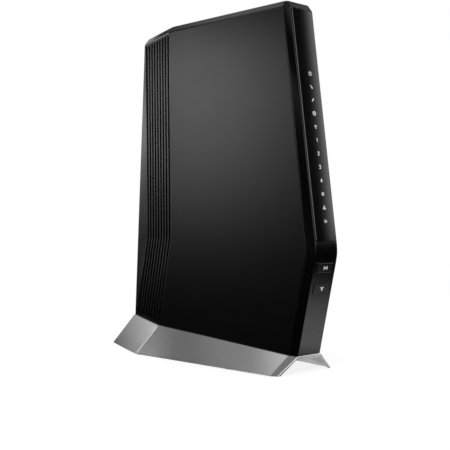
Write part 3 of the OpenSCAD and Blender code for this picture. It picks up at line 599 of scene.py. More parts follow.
def bridged(mesh: bmesh.types.BMesh, low: list[bmesh.types.BMVert], high: list[bmesh.types.BMVert]) -> None:
    """Joins two rings of corners by a strip of faces.

    Args:
        mesh: the mesh that has both rings.
        low: the first ring.
        high: the second ring, with as many corners.
    """
    for i in range(len(low)):
        j = (i + 1) % len(low)
        mesh.faces.new((low[i], low[j], high[j], high[i]))


def placed(mesh: bmesh.types.BMesh, matrix: Matrix) -> bmesh.types.BMesh:
    """Turns a mesh's faces outwards and puts it in its place.

    Args:
        mesh: closed shapes in millimetres.
        matrix: turns them into metres of the object.

    Returns:
        The same mesh.
    """
    bmesh.ops.recalc_face_normals(mesh, faces=mesh.faces)
    mesh.transform(matrix)
    return mesh


class Pattern(Tree):
    """A geometry tree in millimetres for what repeats or follows a path."""

    def __init__(self, name: str) -> None:
        """Starts an empty tree with one output.

        Args:
            name: the name of the tree and of the piece made with it.
        """
        super().__init__(bpy.data.node_groups.new(name, "GeometryNodeTree"))
        self.sizes: dict[str, Any] = {}
        self.tree.interface.new_socket("Geometry", in_out="OUTPUT", socket_type="NodeSocketGeometry")
        self.source = self.add("NodeGroupInput")

    def ask(self, name: str, size: Union[int, float, Triple]) -> Socket:
        """Adds a named input to the tree and keeps its size for the modifier.

        Args:
            name: the input's name.
            size: a count, a length or three lengths.

        Returns:
            The socket that carries the size.
        """
        kinds = {int: "NodeSocketInt", float: "NodeSocketFloat", tuple: "NodeSocketVector"}
        item = self.tree.interface.new_socket(name, in_out="INPUT", socket_type=kinds[type(size)])
        self.sizes[item.identifier] = size
        return self.source.outputs[name]

    def moved(self, shape: Socket, by: Triple, turn: Triple = STILL) -> Socket:
        """Turns a shape and moves it."""
        return self.add("GeometryNodeTransform", None,
                        {"Geometry": shape, "Translation": by, "Rotation": turn}).outputs[0]

    def box(self, name: str, size: Triple, middle: Triple, turn: Triple = STILL) -> Socket:
        """A box around a middle."""
        cube = self.add("GeometryNodeMeshCube", None, {"Size": self.ask(name + " size", size)})
        return self.moved(cube.outputs[0], middle, turn)

    def cone(self, name: str, low: float, high: float, start: float, depth: float,
             sides: int = 24) -> Socket:
        """A cone or rod along z.

        Args:
            name: the name of its inputs.
            low: radius at its lower end.
            high: radius at its upper end.
            start: height of its lower end.
            depth: its length.
            sides: corners around it.

        Returns:
            The closed shape.
        """
        cone = self.add("GeometryNodeMeshCone", None, {
            "Vertices": sides,
            "Radius Top": self.ask(name + " top radius", high),
            "Radius Bottom": self.ask(name + " bottom radius", low),
            "Depth": self.ask(name + " length", depth)})
        return self.moved(cone.outputs[0], (0.0, 0.0, start))

    def merged(self, shapes: list[Socket]) -> Socket:
        """One solid out of several that overlap."""
        return self.add("GeometryNodeMeshBoolean", {"operation": "UNION"}, {"Mesh 2": shapes}).outputs[0]

    def carved(self, shape: Socket, tools: list[Socket]) -> Socket:
        """A solid less some others."""
        return self.add("GeometryNodeMeshBoolean", {"operation": "DIFFERENCE"},
                        {"Mesh 1": shape, "Mesh 2": tools}).outputs[0]

    def row(self, shape: Socket, name: str, count: int, start: Triple, step: Triple) -> Socket:
        """Repeats a shape along a straight line.

        Args:
            shape: what is repeated.
            name: the name of the line's inputs.
            count: how many there are.
            start: place of the first.
            step: from one to the next.

        Returns:
            The row, as instances.
        """
        line = self.add("GeometryNodeMeshLine", None, {
            "Count": self.ask(name + " count", count), "Start Location": self.ask(name + " start", start),
            "Offset": self.ask(name + " step", step)})
        return self.add("GeometryNodeInstanceOnPoints", None,
                        {"Points": line.outputs[0], "Instance": shape}).outputs[0]

    def upward(self, shape: Socket, name: str, row: Row) -> Socket:
        """Repeats a shape up the face, by a count, a start and a step."""
        count, start, step = row
        return self.row(shape, name, count, (0.0, start, 0.0), (0.0, step, 0.0))

    def together(self, shapes: list[Socket]) -> Socket:
        """Several shapes as one."""
        return self.add("GeometryNodeJoinGeometry", None, {0: shapes}).outputs[0]

    def close(self, shape: Socket, finish: Finish) -> None:
        """Ends the tree in real geometry with one material.

        Args:
            shape: what the tree makes.
            finish: the finish that gives the material.
        """
        real = self.add("GeometryNodeRealizeInstances", None, {"Geometry": shape})
        dressed = self.add("GeometryNodeSetMaterial", None,
                           {"Geometry": real.outputs[0], "Material": finish.material()})
        self.add("NodeGroupOutput", None, {0: dressed.outputs[0]})


class Workshop:
    """Makes, dresses and attaches pieces."""

    def __init__(self, frame: dict[str, Any]) -> None:
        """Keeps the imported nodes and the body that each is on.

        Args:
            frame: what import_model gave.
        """
        self.nodes: dict[str, bpy.types.Object] = frame["nodes"]
        bodies = frame["record"]["behaviour"]["bodies"]
        self.body_of: dict[str, str] = {node: body for body, nodes in bodies.items() for node in nodes}

    def piece(self, name: str, mesh: bmesh.types.BMesh, finish: Finish, body: Body,
              smooth: float | None = PIECE_SMOOTH) -> bpy.types.Object:
        """Makes an object of a mesh in metres and attaches it.

        Args:
            name: the piece's name.
            mesh: its shape, freed here.
            finish: its finish.
            body: the body it rides on.
            smooth: the largest angle that is shaded smooth, or None for flat shading.

        Returns:
            The finished object.
        """
        made = solid(name, mesh)
        self.dress(made, finish)
        if smooth is not None:
            smoothed(made.data, smooth)
        return self.attach(made, body.value)

    def dress(self, piece: bpy.types.Object, finish: Finish) -> None:
        """Gives a piece one material."""
        piece.data.materials.clear()
        piece.data.materials.append(finish.material())

    def attach(self, piece: bpy.types.Object, body: str) -> bpy.types.Object:
        """Lets a piece ride on a body.

        Args:
            piece: the finished piece.
            body: the body's name.

        Returns:
            The same piece.
        """
        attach(piece, body)
        LOG.info("%s: %d faces on %s", piece.name, len(piece.data.polygons), body)
        return piece

    def dress_nodes(self, finish: Finish, *nodes: str) -> None:
        """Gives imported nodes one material.

        Args:
            finish: their finish.
            nodes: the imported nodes.
        """
        for node in nodes:
            target = self.nodes[node]
            self.dress(target, finish)
            for polygon in target.data.polygons:
                polygon.material_index = 0
            LOG.info("%s: %s", node, finish.name)

    def softened(self, node: str, finish: Finish, radius_mm: float, shortest_mm: float = 1.6,
                 segments: int = 2, crease: float = 24.0, core_mm: float = 0.0) -> bpy.types.Object:
        """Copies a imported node, rounds its long outer edges and lets the copy stand for it.

        Args:
            node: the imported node.
            finish: the copy's finish.
            radius_mm: width of the rounding.
            shortest_mm: edges shorter than this stay sharp.
            segments: steps of the rounding.
            crease: edges that turn by more degrees than this are rounded.
            core_mm: edges that stay within this distance of the middle plane, such as those of an
                opening, get a fine rounding all round.

        Returns:
            The copy.
        """
        mesh = bmesh.new()
        mesh.from_mesh(self.nodes[node].data)
        bmesh.ops.remove_doubles(mesh, verts=mesh.verts, dist=SAME_PLACE)
        bmesh.ops.dissolve_degenerate(mesh, edges=mesh.edges, dist=NO_LENGTH)
        flat = math.radians(FLAT_DEGREES)
        bmesh.ops.dissolve_limit(mesh, angle_limit=flat, verts=mesh.verts, edges=mesh.edges)
        bmesh.ops.triangulate(mesh, faces=[face for face in mesh.faces if len(face.verts) > CROWDED])
        weight = mesh.edges.layers.float.new("bevel_weight_edge")
        for edge in mesh.edges:
            sharp = edge.is_manifold and edge.is_convex and edge.calc_face_angle() > math.radians(crease)
            if sharp and max(abs(vert.co.x) for vert in edge.verts) < core_mm * MM:
                edge[weight] = FINE_ROUND / radius_mm
            else:
                edge[weight] = 1.0 if sharp and edge.calc_length() > shortest_mm * MM else 0.0
        rough = solid(node + "_dressed", mesh)
        bevel = rough.modifiers.new("round", "BEVEL")
        bevel.limit_method = "WEIGHT"
        bevel.width = radius_mm * MM
        bevel.segments = segments
        bevel.use_clamp_overlap = False
        bevel.loop_slide = False
        bevel.face_strength_mode = "FSTR_ALL"
        normals = rough.modifiers.new("even", "WEIGHTED_NORMAL")
        normals.keep_sharp = True
        normals.use_face_influence = True
        normals.weight = 100
        smoothed(rough.data, NODE_SMOOTH)
        made = self.baked(rough)
        self.dress(made, finish)
        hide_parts(node)
        return self.attach(made, self.body_of[node])

    def pattern(self, pattern: Pattern, face: Face, finish: Finish, body: Body = Body.HOUSING,
                stands_for: Sequence[str] = ()) -> bpy.types.Object:
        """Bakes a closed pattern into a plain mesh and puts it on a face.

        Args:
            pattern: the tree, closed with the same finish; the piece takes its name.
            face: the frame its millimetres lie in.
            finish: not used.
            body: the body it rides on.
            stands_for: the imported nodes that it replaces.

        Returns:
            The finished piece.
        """
        name = pattern.tree.name
        made = linked(name, bpy.data.meshes.new(name))
        nodes = made.modifiers.new("pattern", "NODES")
        nodes.node_group = pattern.tree
        for identifier, size in pattern.sizes.items():
            nodes[identifier] = size
        self.baked(made)
        made.data.transform(face.matrix())
        smoothed(made.data, PIECE_SMOOTH)
        if stands_for:
            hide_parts(*stands_for)
        return self.attach(made, body.value)

    @staticmethod
    def baked(piece: bpy.types.Object) -> bpy.types.Object:
        """Turns a piece's live modifiers into its plain mesh.

        Args:
            piece: the piece with its modifiers.

        Returns:
            The same piece.
        """
        graph = bpy.context.evaluated_depsgraph_get()
        old = piece.data
        piece.data = bpy.data.meshes.new_from_object(piece.evaluated_get(graph), depsgraph=graph)
        piece.modifiers.clear()
        bpy.data.meshes.remove(old)
        return piece


class Strokes:
    """Flat prints made of strokes, rings, discs and filled shapes on a face, in millimetres."""

    def __init__(self, face: Face, lift: float = 0.012, thick: float = 0.03) -> None:
        """Starts an empty print.

        Args:
            face: the frame its millimetres lie in.
            lift: height of the print's underside on the face.
            thick: its thickness.
        """
        self.face = face
        self.lift = lift
        self.thick = thick
        self.mesh = bmesh.new()

    def _prism(self, outline: Sequence[Point]) -> None:
        """Adds a thin prism.

        Args:
            outline: its convex outline, anticlockwise.
        """
        low = [self.mesh.verts.new((x, y, self.lift)) for x, y in outline]
        high = [self.mesh.verts.new((x, y, self.lift + self.thick)) for x, y in outline]
        self.mesh.faces.new(high)
        self.mesh.faces.new(low[::-1])
        bridged(self.mesh, low, high)

    def shape(self, middle: Point, outline: Sequence[Point]) -> None:
        """Adds a filled convex shape around a middle."""
        self._prism([(middle[0] + x, middle[1] + y) for x, y in outline])

    def disc(self, middle: Point, radius: float, steps: int = 20) -> None:
        """Adds a filled disc."""
        turns = [2.0 * math.pi * i / steps for i in range(steps)]
        self.shape(middle, [(radius * math.cos(t), radius * math.sin(t)) for t in turns])

    def line(self, points: Sequence[Point], width: float) -> None:
        """Adds a stroke with square ends.

        Args:
            points: the stroke's corners.
            width: its width.
        """
        for (ax, ay), (bx, by) in zip(points, points[1:]):
            length = math.hypot(bx - ax, by - ay)
            ux = (bx - ax) / length * width / 2.0
            uy = (by - ay) / length * width / 2.0
            self._prism([(ax - ux + uy, ay - uy - ux), (bx + ux + uy, by + uy - ux),
                         (bx + ux - uy, by + uy + ux), (ax - ux - uy, ay - uy + ux)])

    def arc(self, middle: Point, radius: float, start: float, end: float, width: float,
            steps: int = 16) -> None:
        """Adds a stroke along an arc.

        Args:
            middle: the arc's middle.
            radius: its radius.
            start: the angle it starts at, in degrees.
            end: the angle it ends at.
            width: the stroke's width.
            steps: straight pieces that make it up.
        """
        inner = radius - width / 2.0
        outer = radius + width / 2.0
        turns = [math.radians(start + (end - start) * i / steps) for i in range(steps + 1)]
        for a, b in zip(turns, turns[1:]):
            corners = ((inner, a), (outer, a), (outer, b), (inner, b))
            self.shape(middle, [(reach * math.cos(t), reach * math.sin(t)) for reach, t in corners])

    def finished(self) -> bmesh.types.BMesh:
        """Puts the print in its place.

        Returns:
            Its mesh in metres.
        """
        self.mesh.transform(self.face.matrix())
        bmesh.ops.recalc_face_normals(self.mesh, faces=self.mesh.faces)
        return self.mesh


DIGITS: dict[str, list[list[Point]]] = {
    "1": [[(-0.45, 0.75), (0.1, 1.2), (0.1, -1.2)]],
    "2": [[(-0.7, 0.8), (-0.35, 1.2), (0.35, 1.2), (0.7, 0.8), (0.7, 0.3), (-0.7, -1.2), (0.7, -1.2)]],
    "3": [[(-0.7, 1.2), (0.7, 1.2), (0.0, 0.3), (0.7, -0.2), (0.7, -0.8), (0.3, -1.2), (-0.7, -1.2)]],
    "4": [[(0.35, -1.2), (0.35, 1.2), (-0.75, -0.4), (0.8, -0.4)]],
}


class Pictogram(Enum):
    """Signs that are printed on the window, the buttons and the rear."""

    POWER = "power"
    DOWN = "down"
    UP = "up"
    GLOBE = "globe"
    RADIO = "radio"
    ONE = "1"
    TWO = "2"
    THREE = "3"
    FOUR = "4"
    SOCKET = "socket"
    ALERT = "alert"
    SPEED = "speed"
    WAVES = "waves"
    PAIR = "pair"

    def draw(self, strokes: Strokes, middle: Point, size: float) -> None:
        """Draws the sign.

        Args:
            strokes: the print it is added to.
            middle: the sign's middle on the face, in millimetres.
            size: its scale; at 1 it is about 3 mm tall.
        """
        s = size
        w = 0.42 * s

        def at(a: float, b: float) -> Point:
            """A point of the sign on the face."""
            return middle[0] + a * s, middle[1] + b * s

        if self is Pictogram.POWER:
            strokes.arc(middle, 1.3 * s, 120.0, 420.0, w, 20)
            strokes.line([at(0.0, 0.3), at(0.0, 1.7)], w)
        elif self in (Pictogram.DOWN, Pictogram.UP):
            way = -1.0 if self is Pictogram.DOWN else 1.0
            strokes.line([at(-0.8, -way), at(0.5, way * 0.7)], 1.3 * w)
            strokes.shape(at(0.6, way * 0.8), self._spike(s, way))
        elif self is Pictogram.GLOBE:
            strokes.arc(middle, 1.4 * s, 0.0, 360.0, w, 24)
            strokes.arc(middle, 0.55 * s, 0.0, 360.0, 0.8 * w, 16)
        elif self is Pictogram.RADIO:
            for radius in (1.0, 1.9):
                strokes.arc(at(0.0, -1.0), radius * s, 45.0, 135.0, w, 10)
            strokes.disc(at(0.0, -1.0), 0.42 * s)
        elif self.value in DIGITS:
            for stroke in DIGITS[self.value]:
                strokes.line([at(a, b) for a, b in stroke], w)
        elif self is Pictogram.SOCKET:
            strokes.line([at(-0.9, -0.8), at(0.9, -0.8), at(0.9, 0.6), at(-0.9, 0.6), at(-0.9, -0.8)], w)
            strokes.line([at(-0.4, 1.1), at(0.4, 1.1)], w)
        elif self is Pictogram.ALERT:
            strokes.line([at(-1.4, -1.0), at(1.4, -1.0), at(0.0, 1.4), at(-1.4, -1.0)], 0.8 * w)
            strokes.disc(at(0.0, -0.35), 0.35 * s)
        elif self is Pictogram.SPEED:
            for shift in (-0.75, 0.75):
                strokes.line([at(shift - 0.5, 0.9), at(shift + 0.4, 0.0), at(shift - 0.5, -0.9)], w)
        elif self is Pictogram.WAVES:
            strokes.disc(middle, 0.5 * s)
            for radius in (1.15, 1.95):
                for start in (-48.0, 132.0):
                    strokes.arc(middle, radius * s, start, start + 96.0, 0.9 * w, 10)
        elif self is Pictogram.PAIR:
            strokes.disc(at(0.0, -0.9), 0.62 * s)
            for side in (-1.0, 1.0):
                strokes.line([at(0.0, 0.0), at(side * 0.95, 0.85)], 1.1 * w)
                strokes.disc(at(side * 1.1, 1.0), 0.5 * s)

    @staticmethod
    def _spike(s: float, way: float) -> list[Point]:
        """The head of an arrow that points up or down to the right."""
        head = [(0.3 * s, way * 0.6 * s), (-0.8 * s, way * 0.25 * s), (0.45 * s, -way * 0.7 * s)]
        return head if way > 0 else head[::-1]


@dataclass
class Housing:
    """The covers, the cap, the bezel, the rear panel and the bottom plate."""

    shop: Workshop
    panel_round: float = 0.6
    bezel_round: float = 0.35
    cap_round: float = 0.7
    band_start: Point = (29.6, 25.4)
    band_length: float = 51.2
    band_angle: float = 13.0
    edge_tall: float = 1.1
    edge_proud: float = 0.55
    edge_lip: float = 0.02
    edge_sink: float = 0.3
    edge_down: float = 0.3
    edge_start: float = 0.4
    opening_half: float = 9.0

    def band_edges(self) -> bmesh.types.BMesh:
        """Slanted drip edges above the slots of both louvred bands.

        Returns:
            Their mesh in metres.
        """
        mesh = bmesh.new()
        turn = math.radians(self.band_angle)
        along = Vector((-math.sin(turn), math.cos(turn), 0.0))
        out = Vector((math.cos(turn), math.sin(turn), 0.0))
        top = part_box("left_cover")[1].z / MM - self.edge_down
        low = top - self.edge_tall
        start = Vector((*self.band_start, 0.0)) + self.edge_start * along
        profile = ((-self.edge_sink, low), (self.edge_proud, low),
                   (self.edge_lip, top), (-self.edge_sink, top))
        for side in (-1.0, 1.0):
            rings = []
            for reach in (0.0, self.band_length):
                spots = [start + reach * along + depth * out for depth, _ in profile]
                rings.append([mesh.verts.new((side * spot.x, spot.y, height))
                              for spot, (_, height) in zip(spots, profile)])
            bridged(mesh, *rings)
            mesh.faces.new(rings[0])
            mesh.faces.new(rings[1][::-1])
        return placed(mesh, Matrix.Scale(MM, 4))

    def build(self) -> None:
        """Softens the moulded pieces and dresses them."""
        for node in ("left_cover", "right_cover"):
            self.shop.softened(node, Finishes.HOUSING.value, self.panel_round)
        self.shop.softened("top_cap", Finishes.HOUSING.value, self.cap_round, segments=3)
        self.shop.softened("front_bezel", Finishes.BEZEL.value, self.bezel_round, core_mm=self.opening_half)
        self.shop.softened("rear_panel", Finishes.HOUSING.value, self.bezel_round)
        self.shop.dress_nodes(Finishes.INNER.value, "bottom_plate")
        self.shop.piece("band_edges", self.band_edges(), Finishes.HOUSING.value, Body.HOUSING, None)


@dataclass
class Screws:
    """Pan-head screws with a cross recess, in even columns and rows on a face."""

    shop: Workshop
    head: float = 2.7
    tall: float = 1.7
    rod: float = 1.4
    rod_sides: int = 16
    arm: float = 3.3
    slot: float = 0.7
    deep: float = 1.0
    past: float = 0.1
    overlap: float = 0.4
    rim_share: float = 0.5
    dome_low: float = 0.99
    dome_high: float = 0.66

    def build(self, node: str, face: Face, shank: float, columns: Row, rows: Row,
              level: float = 0.0) -> None:
        """Makes the screws that stand for a node.

        Args:
            node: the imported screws.
            face: the frame whose z points along the heads.
            shank: length of the rods.
            columns: count, start and step across the face.
            rows: count, start and step up the face.
            level: height of the heads' undersides on the face.
        """
        net = Pattern(node + "_cross_head")
        rim = net.cone("Head rim", self.head, self.head, level, self.rim_share * self.tall)
        dome = net.cone("Head dome", self.dome_low * self.head, self.dome_high * self.head,
                        level + self.overlap, self.tall - self.overlap)
        rod = net.cone("Shank", self.rod, self.rod, level - shank, shank + self.overlap, self.rod_sides)
        cross = level + self.tall - 0.5 * self.deep + self.past
        sizes = ((self.arm, self.slot, self.deep), (self.slot, self.arm, self.deep))
        arms = [net.box("Recess %d" % i, size, (0.0, 0.0, cross)) for i, size in enumerate(sizes)]
        screw = net.carved(net.merged([rim, dome, rod]), arms)
        count, start, step = columns
        column = net.row(screw, "Column", count, (start, 0.0, 0.0), (step, 0.0, 0.0))
        net.close(net.upward(column, "Row", rows), Finishes.SCREW.value)
        self.shop.pattern(net, face, Finishes.SCREW.value, stands_for=(node,))


@dataclass
class Stand:
    """The flared stand, its rubber feet and its screws."""

    shop: Workshop
    edge_round: float = 0.55
    edge_crease: float = 13.5
    foot_round: float = 0.35
    foot_shortest: float = 0.2
    plate: float = 3.2
    shank: float = 8.3
    screw_columns: Row = (2, -7.5, 15.0)
    screw_rows: Row = (2, 56.0, 116.03)

    def build(self) -> None:
        """Softens the casting and the feet and sets the screws."""
        self.shop.softened("stand", Finishes.STAND.value, self.edge_round, crease=self.edge_crease)
        self.shop.softened("stand_feet", Finishes.RUBBER.value, self.foot_round, self.foot_shortest)
        Screws(self.shop).build("stand_screws", SEAM_FACE, self.shank, self.screw_columns, self.screw_rows,
                                self.plate)


@dataclass
class LampWindow:
    """The smoked window over the lamps with its lit signs."""

    shop: Workshop
    width: float = 21.2
    low: float = 2.5
    length: float = 170.2
    thick: float = 1.4
    proud: float = 0.95
    crown: float = 0.35
    corner: float = 1.2
    corner_steps: int = 8
    bevel: float = 0.45
    drop: float = 0.229
    hold: float = 1.6
    columns: int = 28
    smooth: float = 12.0
    first: float = 16.4
    pitch: float = 9.83
    sign_x: float = 0.9
    screw_depth: float = 6.3
    shank: float = 3.7
    screw_columns: Row = (1, 0.0, 0.0)
    screw_rows: Row = (2, 9.4, 122.13)
    signs: Sequence[Pictogram] = field(default_factory=lambda: (
        Pictogram.SPEED, Pictogram.ALERT, Pictogram.SOCKET, Pictogram.FOUR, Pictogram.THREE, Pictogram.TWO,
        Pictogram.ONE, Pictogram.RADIO, Pictogram.GLOBE, Pictogram.UP, Pictogram.DOWN, Pictogram.POWER))

    def height(self, x: float) -> float:
        """Finds the height of the crowned window with its bevelled sides.

        Args:
            x: distance from the window's middle line.

        Returns:
            The height over the face.
        """
        half = self.width / 2.0
        over = max(0.0, abs(x) - (half - self.bevel))
        return self.proud - self.crown * (x / half) ** 2 - self.drop * over / self.bevel

    def ends(self, x: float) -> Point:
        """Finds where a column of the window ends, with its round corners.

        Args:
            x: distance from the window's middle line.

        Returns:
            The lower and the upper end.
        """
        over = max(0.0, abs(x) - (self.width / 2.0 - self.corner))
        cut = self.corner - math.sqrt(max(0.0, self.corner ** 2 - over ** 2))
        return self.low + cut, self.low + self.length - cut

    def pane(self) -> bmesh.types.BMesh:
        """The crowned pane as columns from side to side.

        Returns:
            Its mesh in metres.
        """
        half = self.width / 2.0
        inner = half - self.corner
        steps = self.corner_steps
        xs = [-inner + 2.0 * inner * i / self.columns for i in range(self.columns + 1)]
        turns = [math.radians(90.0 * i / steps) for i in range(1, steps + 1)]
        rim = sorted([half - self.bevel] + [inner + self.corner * math.sin(t) for t in turns])
        xs = [-x for x in reversed(rim)] + xs + rim
        mesh = bmesh.new()
        rows = []
        for x in xs:
            low, high = self.ends(x)
            top = self.height(x)
            edge = top - self.drop
            ring = [(low, -self.thick), (low, top), (low + self.hold, top), (high - self.hold, top),
                    (high - self.bevel, top), (high, edge), (high, -self.thick)]
            rows.append([mesh.verts.new((x, y, z)) for y, z in ring])
        count = len(rows[0])
        for a, b in zip(rows, rows[1:]):
            for i in range(count):
                j = (i + 1) % count
                mesh.faces.new((a[i], b[i], b[j], a[j]))
        mesh.faces.new(rows[0])
        mesh.faces.new(rows[-1][::-1])
        return placed(mesh, UPPER_FACE.matrix())

    def build(self) -> None:
        """Makes the pane and the signs on it and dresses what is behind."""
        window = self.shop.piece("lamp_window_pane", self.pane(), Finishes.WINDOW.value, Body.HOUSING,
                                 self.smooth)
        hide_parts("led_window")
        strokes = Strokes(UPPER_FACE, self.proud + PRINT_GAP)
        for i, sign in enumerate(self.signs):
            sign.draw(strokes, (self.sign_x, self.first + i * self.pitch), 1.0)
        self.shop.piece("lamp_signs", strokes.finished(), Finishes.LIT_AND_PAINTED_GLOW_PRINT.value, Body.HOUSING, None)
        self.shop.dress_nodes(Finishes.LIGHT.value, "light_guide", "led_lamps")
        self.shop.dress_nodes(Finishes.BOARD.value, "led_board")
        Screws(self.shop).build("led_board_screws", UPPER_FACE.turned_over(self.screw_depth), self.shank,
                                self.screw_columns, self.screw_rows)


@dataclass
class FrontButtons:
    """The two front buttons, their plungers and their switches."""

    shop: Workshop
    first: float = -4.9
    pitch: float = 15.4
    proud: float = 0.4
    cap_round: float = 0.3
    cap_shortest: float = 0.1
    sign_x: float = 0.6
    sign_size: float = 0.95
    screw_depth: float = 11.65
    shank: float = 6.0
    screw_columns: Row = (1, 0.0, 0.0)
    screw_rows: Row = (2, -28.1, 15.5)

    def build(self) -> None:
        """Softens the caps, prints their signs with a painted glow and dresses the switch parts."""
        pairs = (("wifi", Body.WIFI, Pictogram.WAVES), ("sync", Body.SYNC, Pictogram.PAIR))
        for i, (name, body, sign) in enumerate(pairs):
            self.shop.softened(name + "_button", Finishes.BUTTON.value, self.cap_round, self.cap_shortest)
            strokes = Strokes(LOWER_FACE, self.proud + PRINT_GAP)
            sign.draw(strokes, (self.sign_x, self.first - i * self.pitch), self.sign_size)
            # The button signs glow with painted light to look bright; no lamp is behind them
            self.shop.piece(name + "_sign", strokes.finished(), Finishes.LIT_AND_PAINTED_GLOW_PRINT.value, body, None)
            self.shop.dress_nodes(Finishes.INNER.value, name + "_plunger")
        self.shop.dress_nodes(Finishes.SHIELD.value, "button_switches")
        self.shop.dress_nodes(Finishes.BOARD.value, "button_board")
        Screws(self.shop).build("button_board_screws", LOWER_FACE.turned_over(self.screw_depth), self.shank,
                                self.screw_columns, self.screw_rows)


@dataclass
class RearPorts:
    """The sockets, the connector and the buttons on the rear panel."""

    shop: Workshop
    middle: float = 0.1
    first_jack: float = 69.7
    jack_pitch: float = 18.0
    fast_jack: float = 143.7
    mouth: Point = (7.6, 11.9)
    notch: Point = (2.2, 6.0)
    mouth_depth: float = 12.9
    front: float = -0.55
    liner: float = 0.25
    liner_play: float = 0.03
    spring: Triple = (0.28, 0.5, 8.2)
    spring_middle: Triple = (-2.3, 0.0, -7.0)
    spring_turn: Triple = (0.0, 0.22, 0.0)
    springs: Row = (8, -3.57, 1.02)
    lamp: Triple = (1.7, 2.8, 0.5)
    lamp_middle: Triple = (-5.2, 0.0, -0.6)
    lamps: Row = (2, -4.6, 9.2)
    usb_tongue: Triple = (4.25, 163.0, -8.2)
    usb_sleeve: Triple = (2.1, 11.0, 13.4)
    strip: Triple = (0.12, 1.1, 7.5)
    strip_depth: float = -5.8
    strip_proud: float = 0.04
    strips: Row = (4, -3.45, 2.3)
    coax: float = 50.4
    thread_radius: float = 4.72
    thread_pitch: float = 0.794
    thread_turns: float = 9.5
    thread_start: float = 2.95
    thread_steps: int = 28
    ridge: float = 0.3
    insulator_level: float = 11.0
    insulator_thick: float = 0.08
    insulator_ring: Point = (2.0, 1.9)
    inlet: float = 17.5
    pin: Triple = (1.12, -10.4, 8.4)
    pin_tip: Triple = (1.11, -2.2, 0.75)
    pin_end: float = 0.6
    pin_sides: int = 20
    nut_round: Point = (0.3, 1.0)
    power: float = 33.0
    power_round: Point = (0.4, 0.1)
    print_x: float = -11.6
    print_lift: float = 0.006

    def jacks(self) -> list[tuple[int, float]]:
        """Count and first height of each even row of network jacks."""
        return [(4, self.first_jack), (1, self.fast_jack)]

    def mouth_outline(self, inset: float) -> list[Point]:
        """The jack mouth with its latch notch.

        Args:
            inset: by how much it is made smaller all round.

        Returns:
            Its corners, anticlockwise.
        """
        x = self.mouth[0] / 2.0 - inset
        y = self.mouth[1] / 2.0 - inset
        deep = self.mouth[0] / 2.0 + self.notch[0] - inset
        n = self.notch[1] / 2.0 - inset
        return [(-x, -y), (x, -y), (x, -n), (deep, -n), (deep, n), (x, n), (x, y), (-x, y)]

    def liners(self) -> bmesh.types.BMesh:
        """Black cups that line the mouths of the network jacks.

        Returns:
            Their mesh in metres.
        """
        mesh = bmesh.new()
        back = self.front - self.mouth_depth
        outer = self.mouth_outline(self.liner_play)
        inner = self.mouth_outline(self.liner_play + self.liner)
        loops = ((outer, back), (outer, self.front), (inner, self.front), (inner, back + self.liner))
        for count, first in self.jacks():
            for i in range(count):
                height = first + i * self.jack_pitch
                rings = [[mesh.verts.new((self.middle + x, height + y, z)) for x, y in outline]
                         for outline, z in loops]
                for low, high in zip(rings, rings[1:]):
                    bridged(mesh, low, high)
                mesh.faces.new(rings[0][::-1])
                mesh.faces.new(rings[-1])
        return placed(mesh, REAR_FACE.matrix())

    def finished(self, pattern: Pattern, shape: Socket, finish: Finishes) -> None:
        """Closes a pattern and puts it on the rear."""
        pattern.close(shape, finish.value)
        self.shop.pattern(pattern, REAR_FACE, finish.value)

    def contacts(self) -> None:
        """Gold springs and link lamps in the network jacks, gold strips on the tongue."""
        springs = Pattern("jack_contacts")
        lamps = Pattern("link_lamps")
        spring_rows = []
        lamp_rows = []
        for count, first in self.jacks():
            name = "Jack %d " % count
            start = (self.middle, first, 0.0)
            step = (0.0, self.jack_pitch, 0.0)
            spring = springs.box(name + "spring", self.spring, self.spring_middle, self.spring_turn)
            eight = springs.upward(spring, name + "springs", self.springs)
            spring_rows.append(springs.row(eight, name + "mouths", count, start, step))
            lamp = lamps.box(name + "lamp", self.lamp, self.lamp_middle)
            pair = lamps.upward(lamp, name + "lamps", self.lamps)
            lamp_rows.append(lamps.row(pair, name + "fronts", count, start, step))
        x, y, _ = self.usb_tongue
        strip_x = x - self.usb_sleeve[0] / 2.0 - self.strip_proud
        strip = springs.box("Strip", self.strip, (strip_x, y, self.strip_depth))
        spring_rows.append(springs.upward(strip, "Strips", self.strips))
        self.finished(springs, springs.together(spring_rows), Finishes.GOLD)
        self.finished(lamps, lamps.together(lamp_rows), Finishes.LINK_LAMP)

    def thread(self) -> None:
        """The coax connector's screw thread, a ridge wound along the barrel."""
        net = Pattern("coax_thread")
        path = net.add("GeometryNodeCurveSpiral", None, {
            "Resolution": self.thread_steps,
            "Rotations": net.ask("Turns", self.thread_turns),
            "Start Radius": net.ask("Radius", self.thread_radius),
            "End Radius": net.ask("End radius", self.thread_radius),
            "Height": net.ask("Height", self.thread_turns * self.thread_pitch)})
        ridge = net.add("GeometryNodeCurvePrimitiveCircle", None,
                        {"Resolution": 4, "Radius": net.ask("Ridge", self.ridge)})
        wound = net.add("GeometryNodeCurveToMesh", None,
                        {"Curve": path.outputs[0], "Profile Curve": ridge.outputs[0], "Fill Caps": True})
        place = (self.middle, self.coax, self.thread_start)
        self.finished(net, net.moved(wound.outputs[0], place), Finishes.BRASS)

    def small_parts(self) -> None:
        """The tongue's sleeve, the inlet's pin and the coax connector's insulator."""
        sleeve = Pattern("usb_tongue_sleeve")
        self.finished(sleeve, sleeve.box("Sleeve", self.usb_sleeve, self.usb_tongue), Finishes.JACK)
        pin = Pattern("inlet_pin")
        radius, start, length = self.pin
        stem = pin.cone("Stem", radius, radius, start, length, self.pin_sides)
        radius, start, length = self.pin_tip
        tip = pin.cone("Tip", radius, self.pin_end, start, length, self.pin_sides)
        whole = pin.moved(pin.merged([stem, tip]), (self.middle, self.inlet, 0.0))
        self.finished(pin, whole, Finishes.BRASS)
        ring = Strokes(REAR_FACE, self.insulator_level, self.insulator_thick)
        radius, width = self.insulator_ring
        ring.arc((self.middle, self.coax), radius, 0.0, 360.0, width, 32)
        self.shop.piece("coax_insulator", ring.finished(), Finishes.LIGHT.value, Body.HOUSING, None)

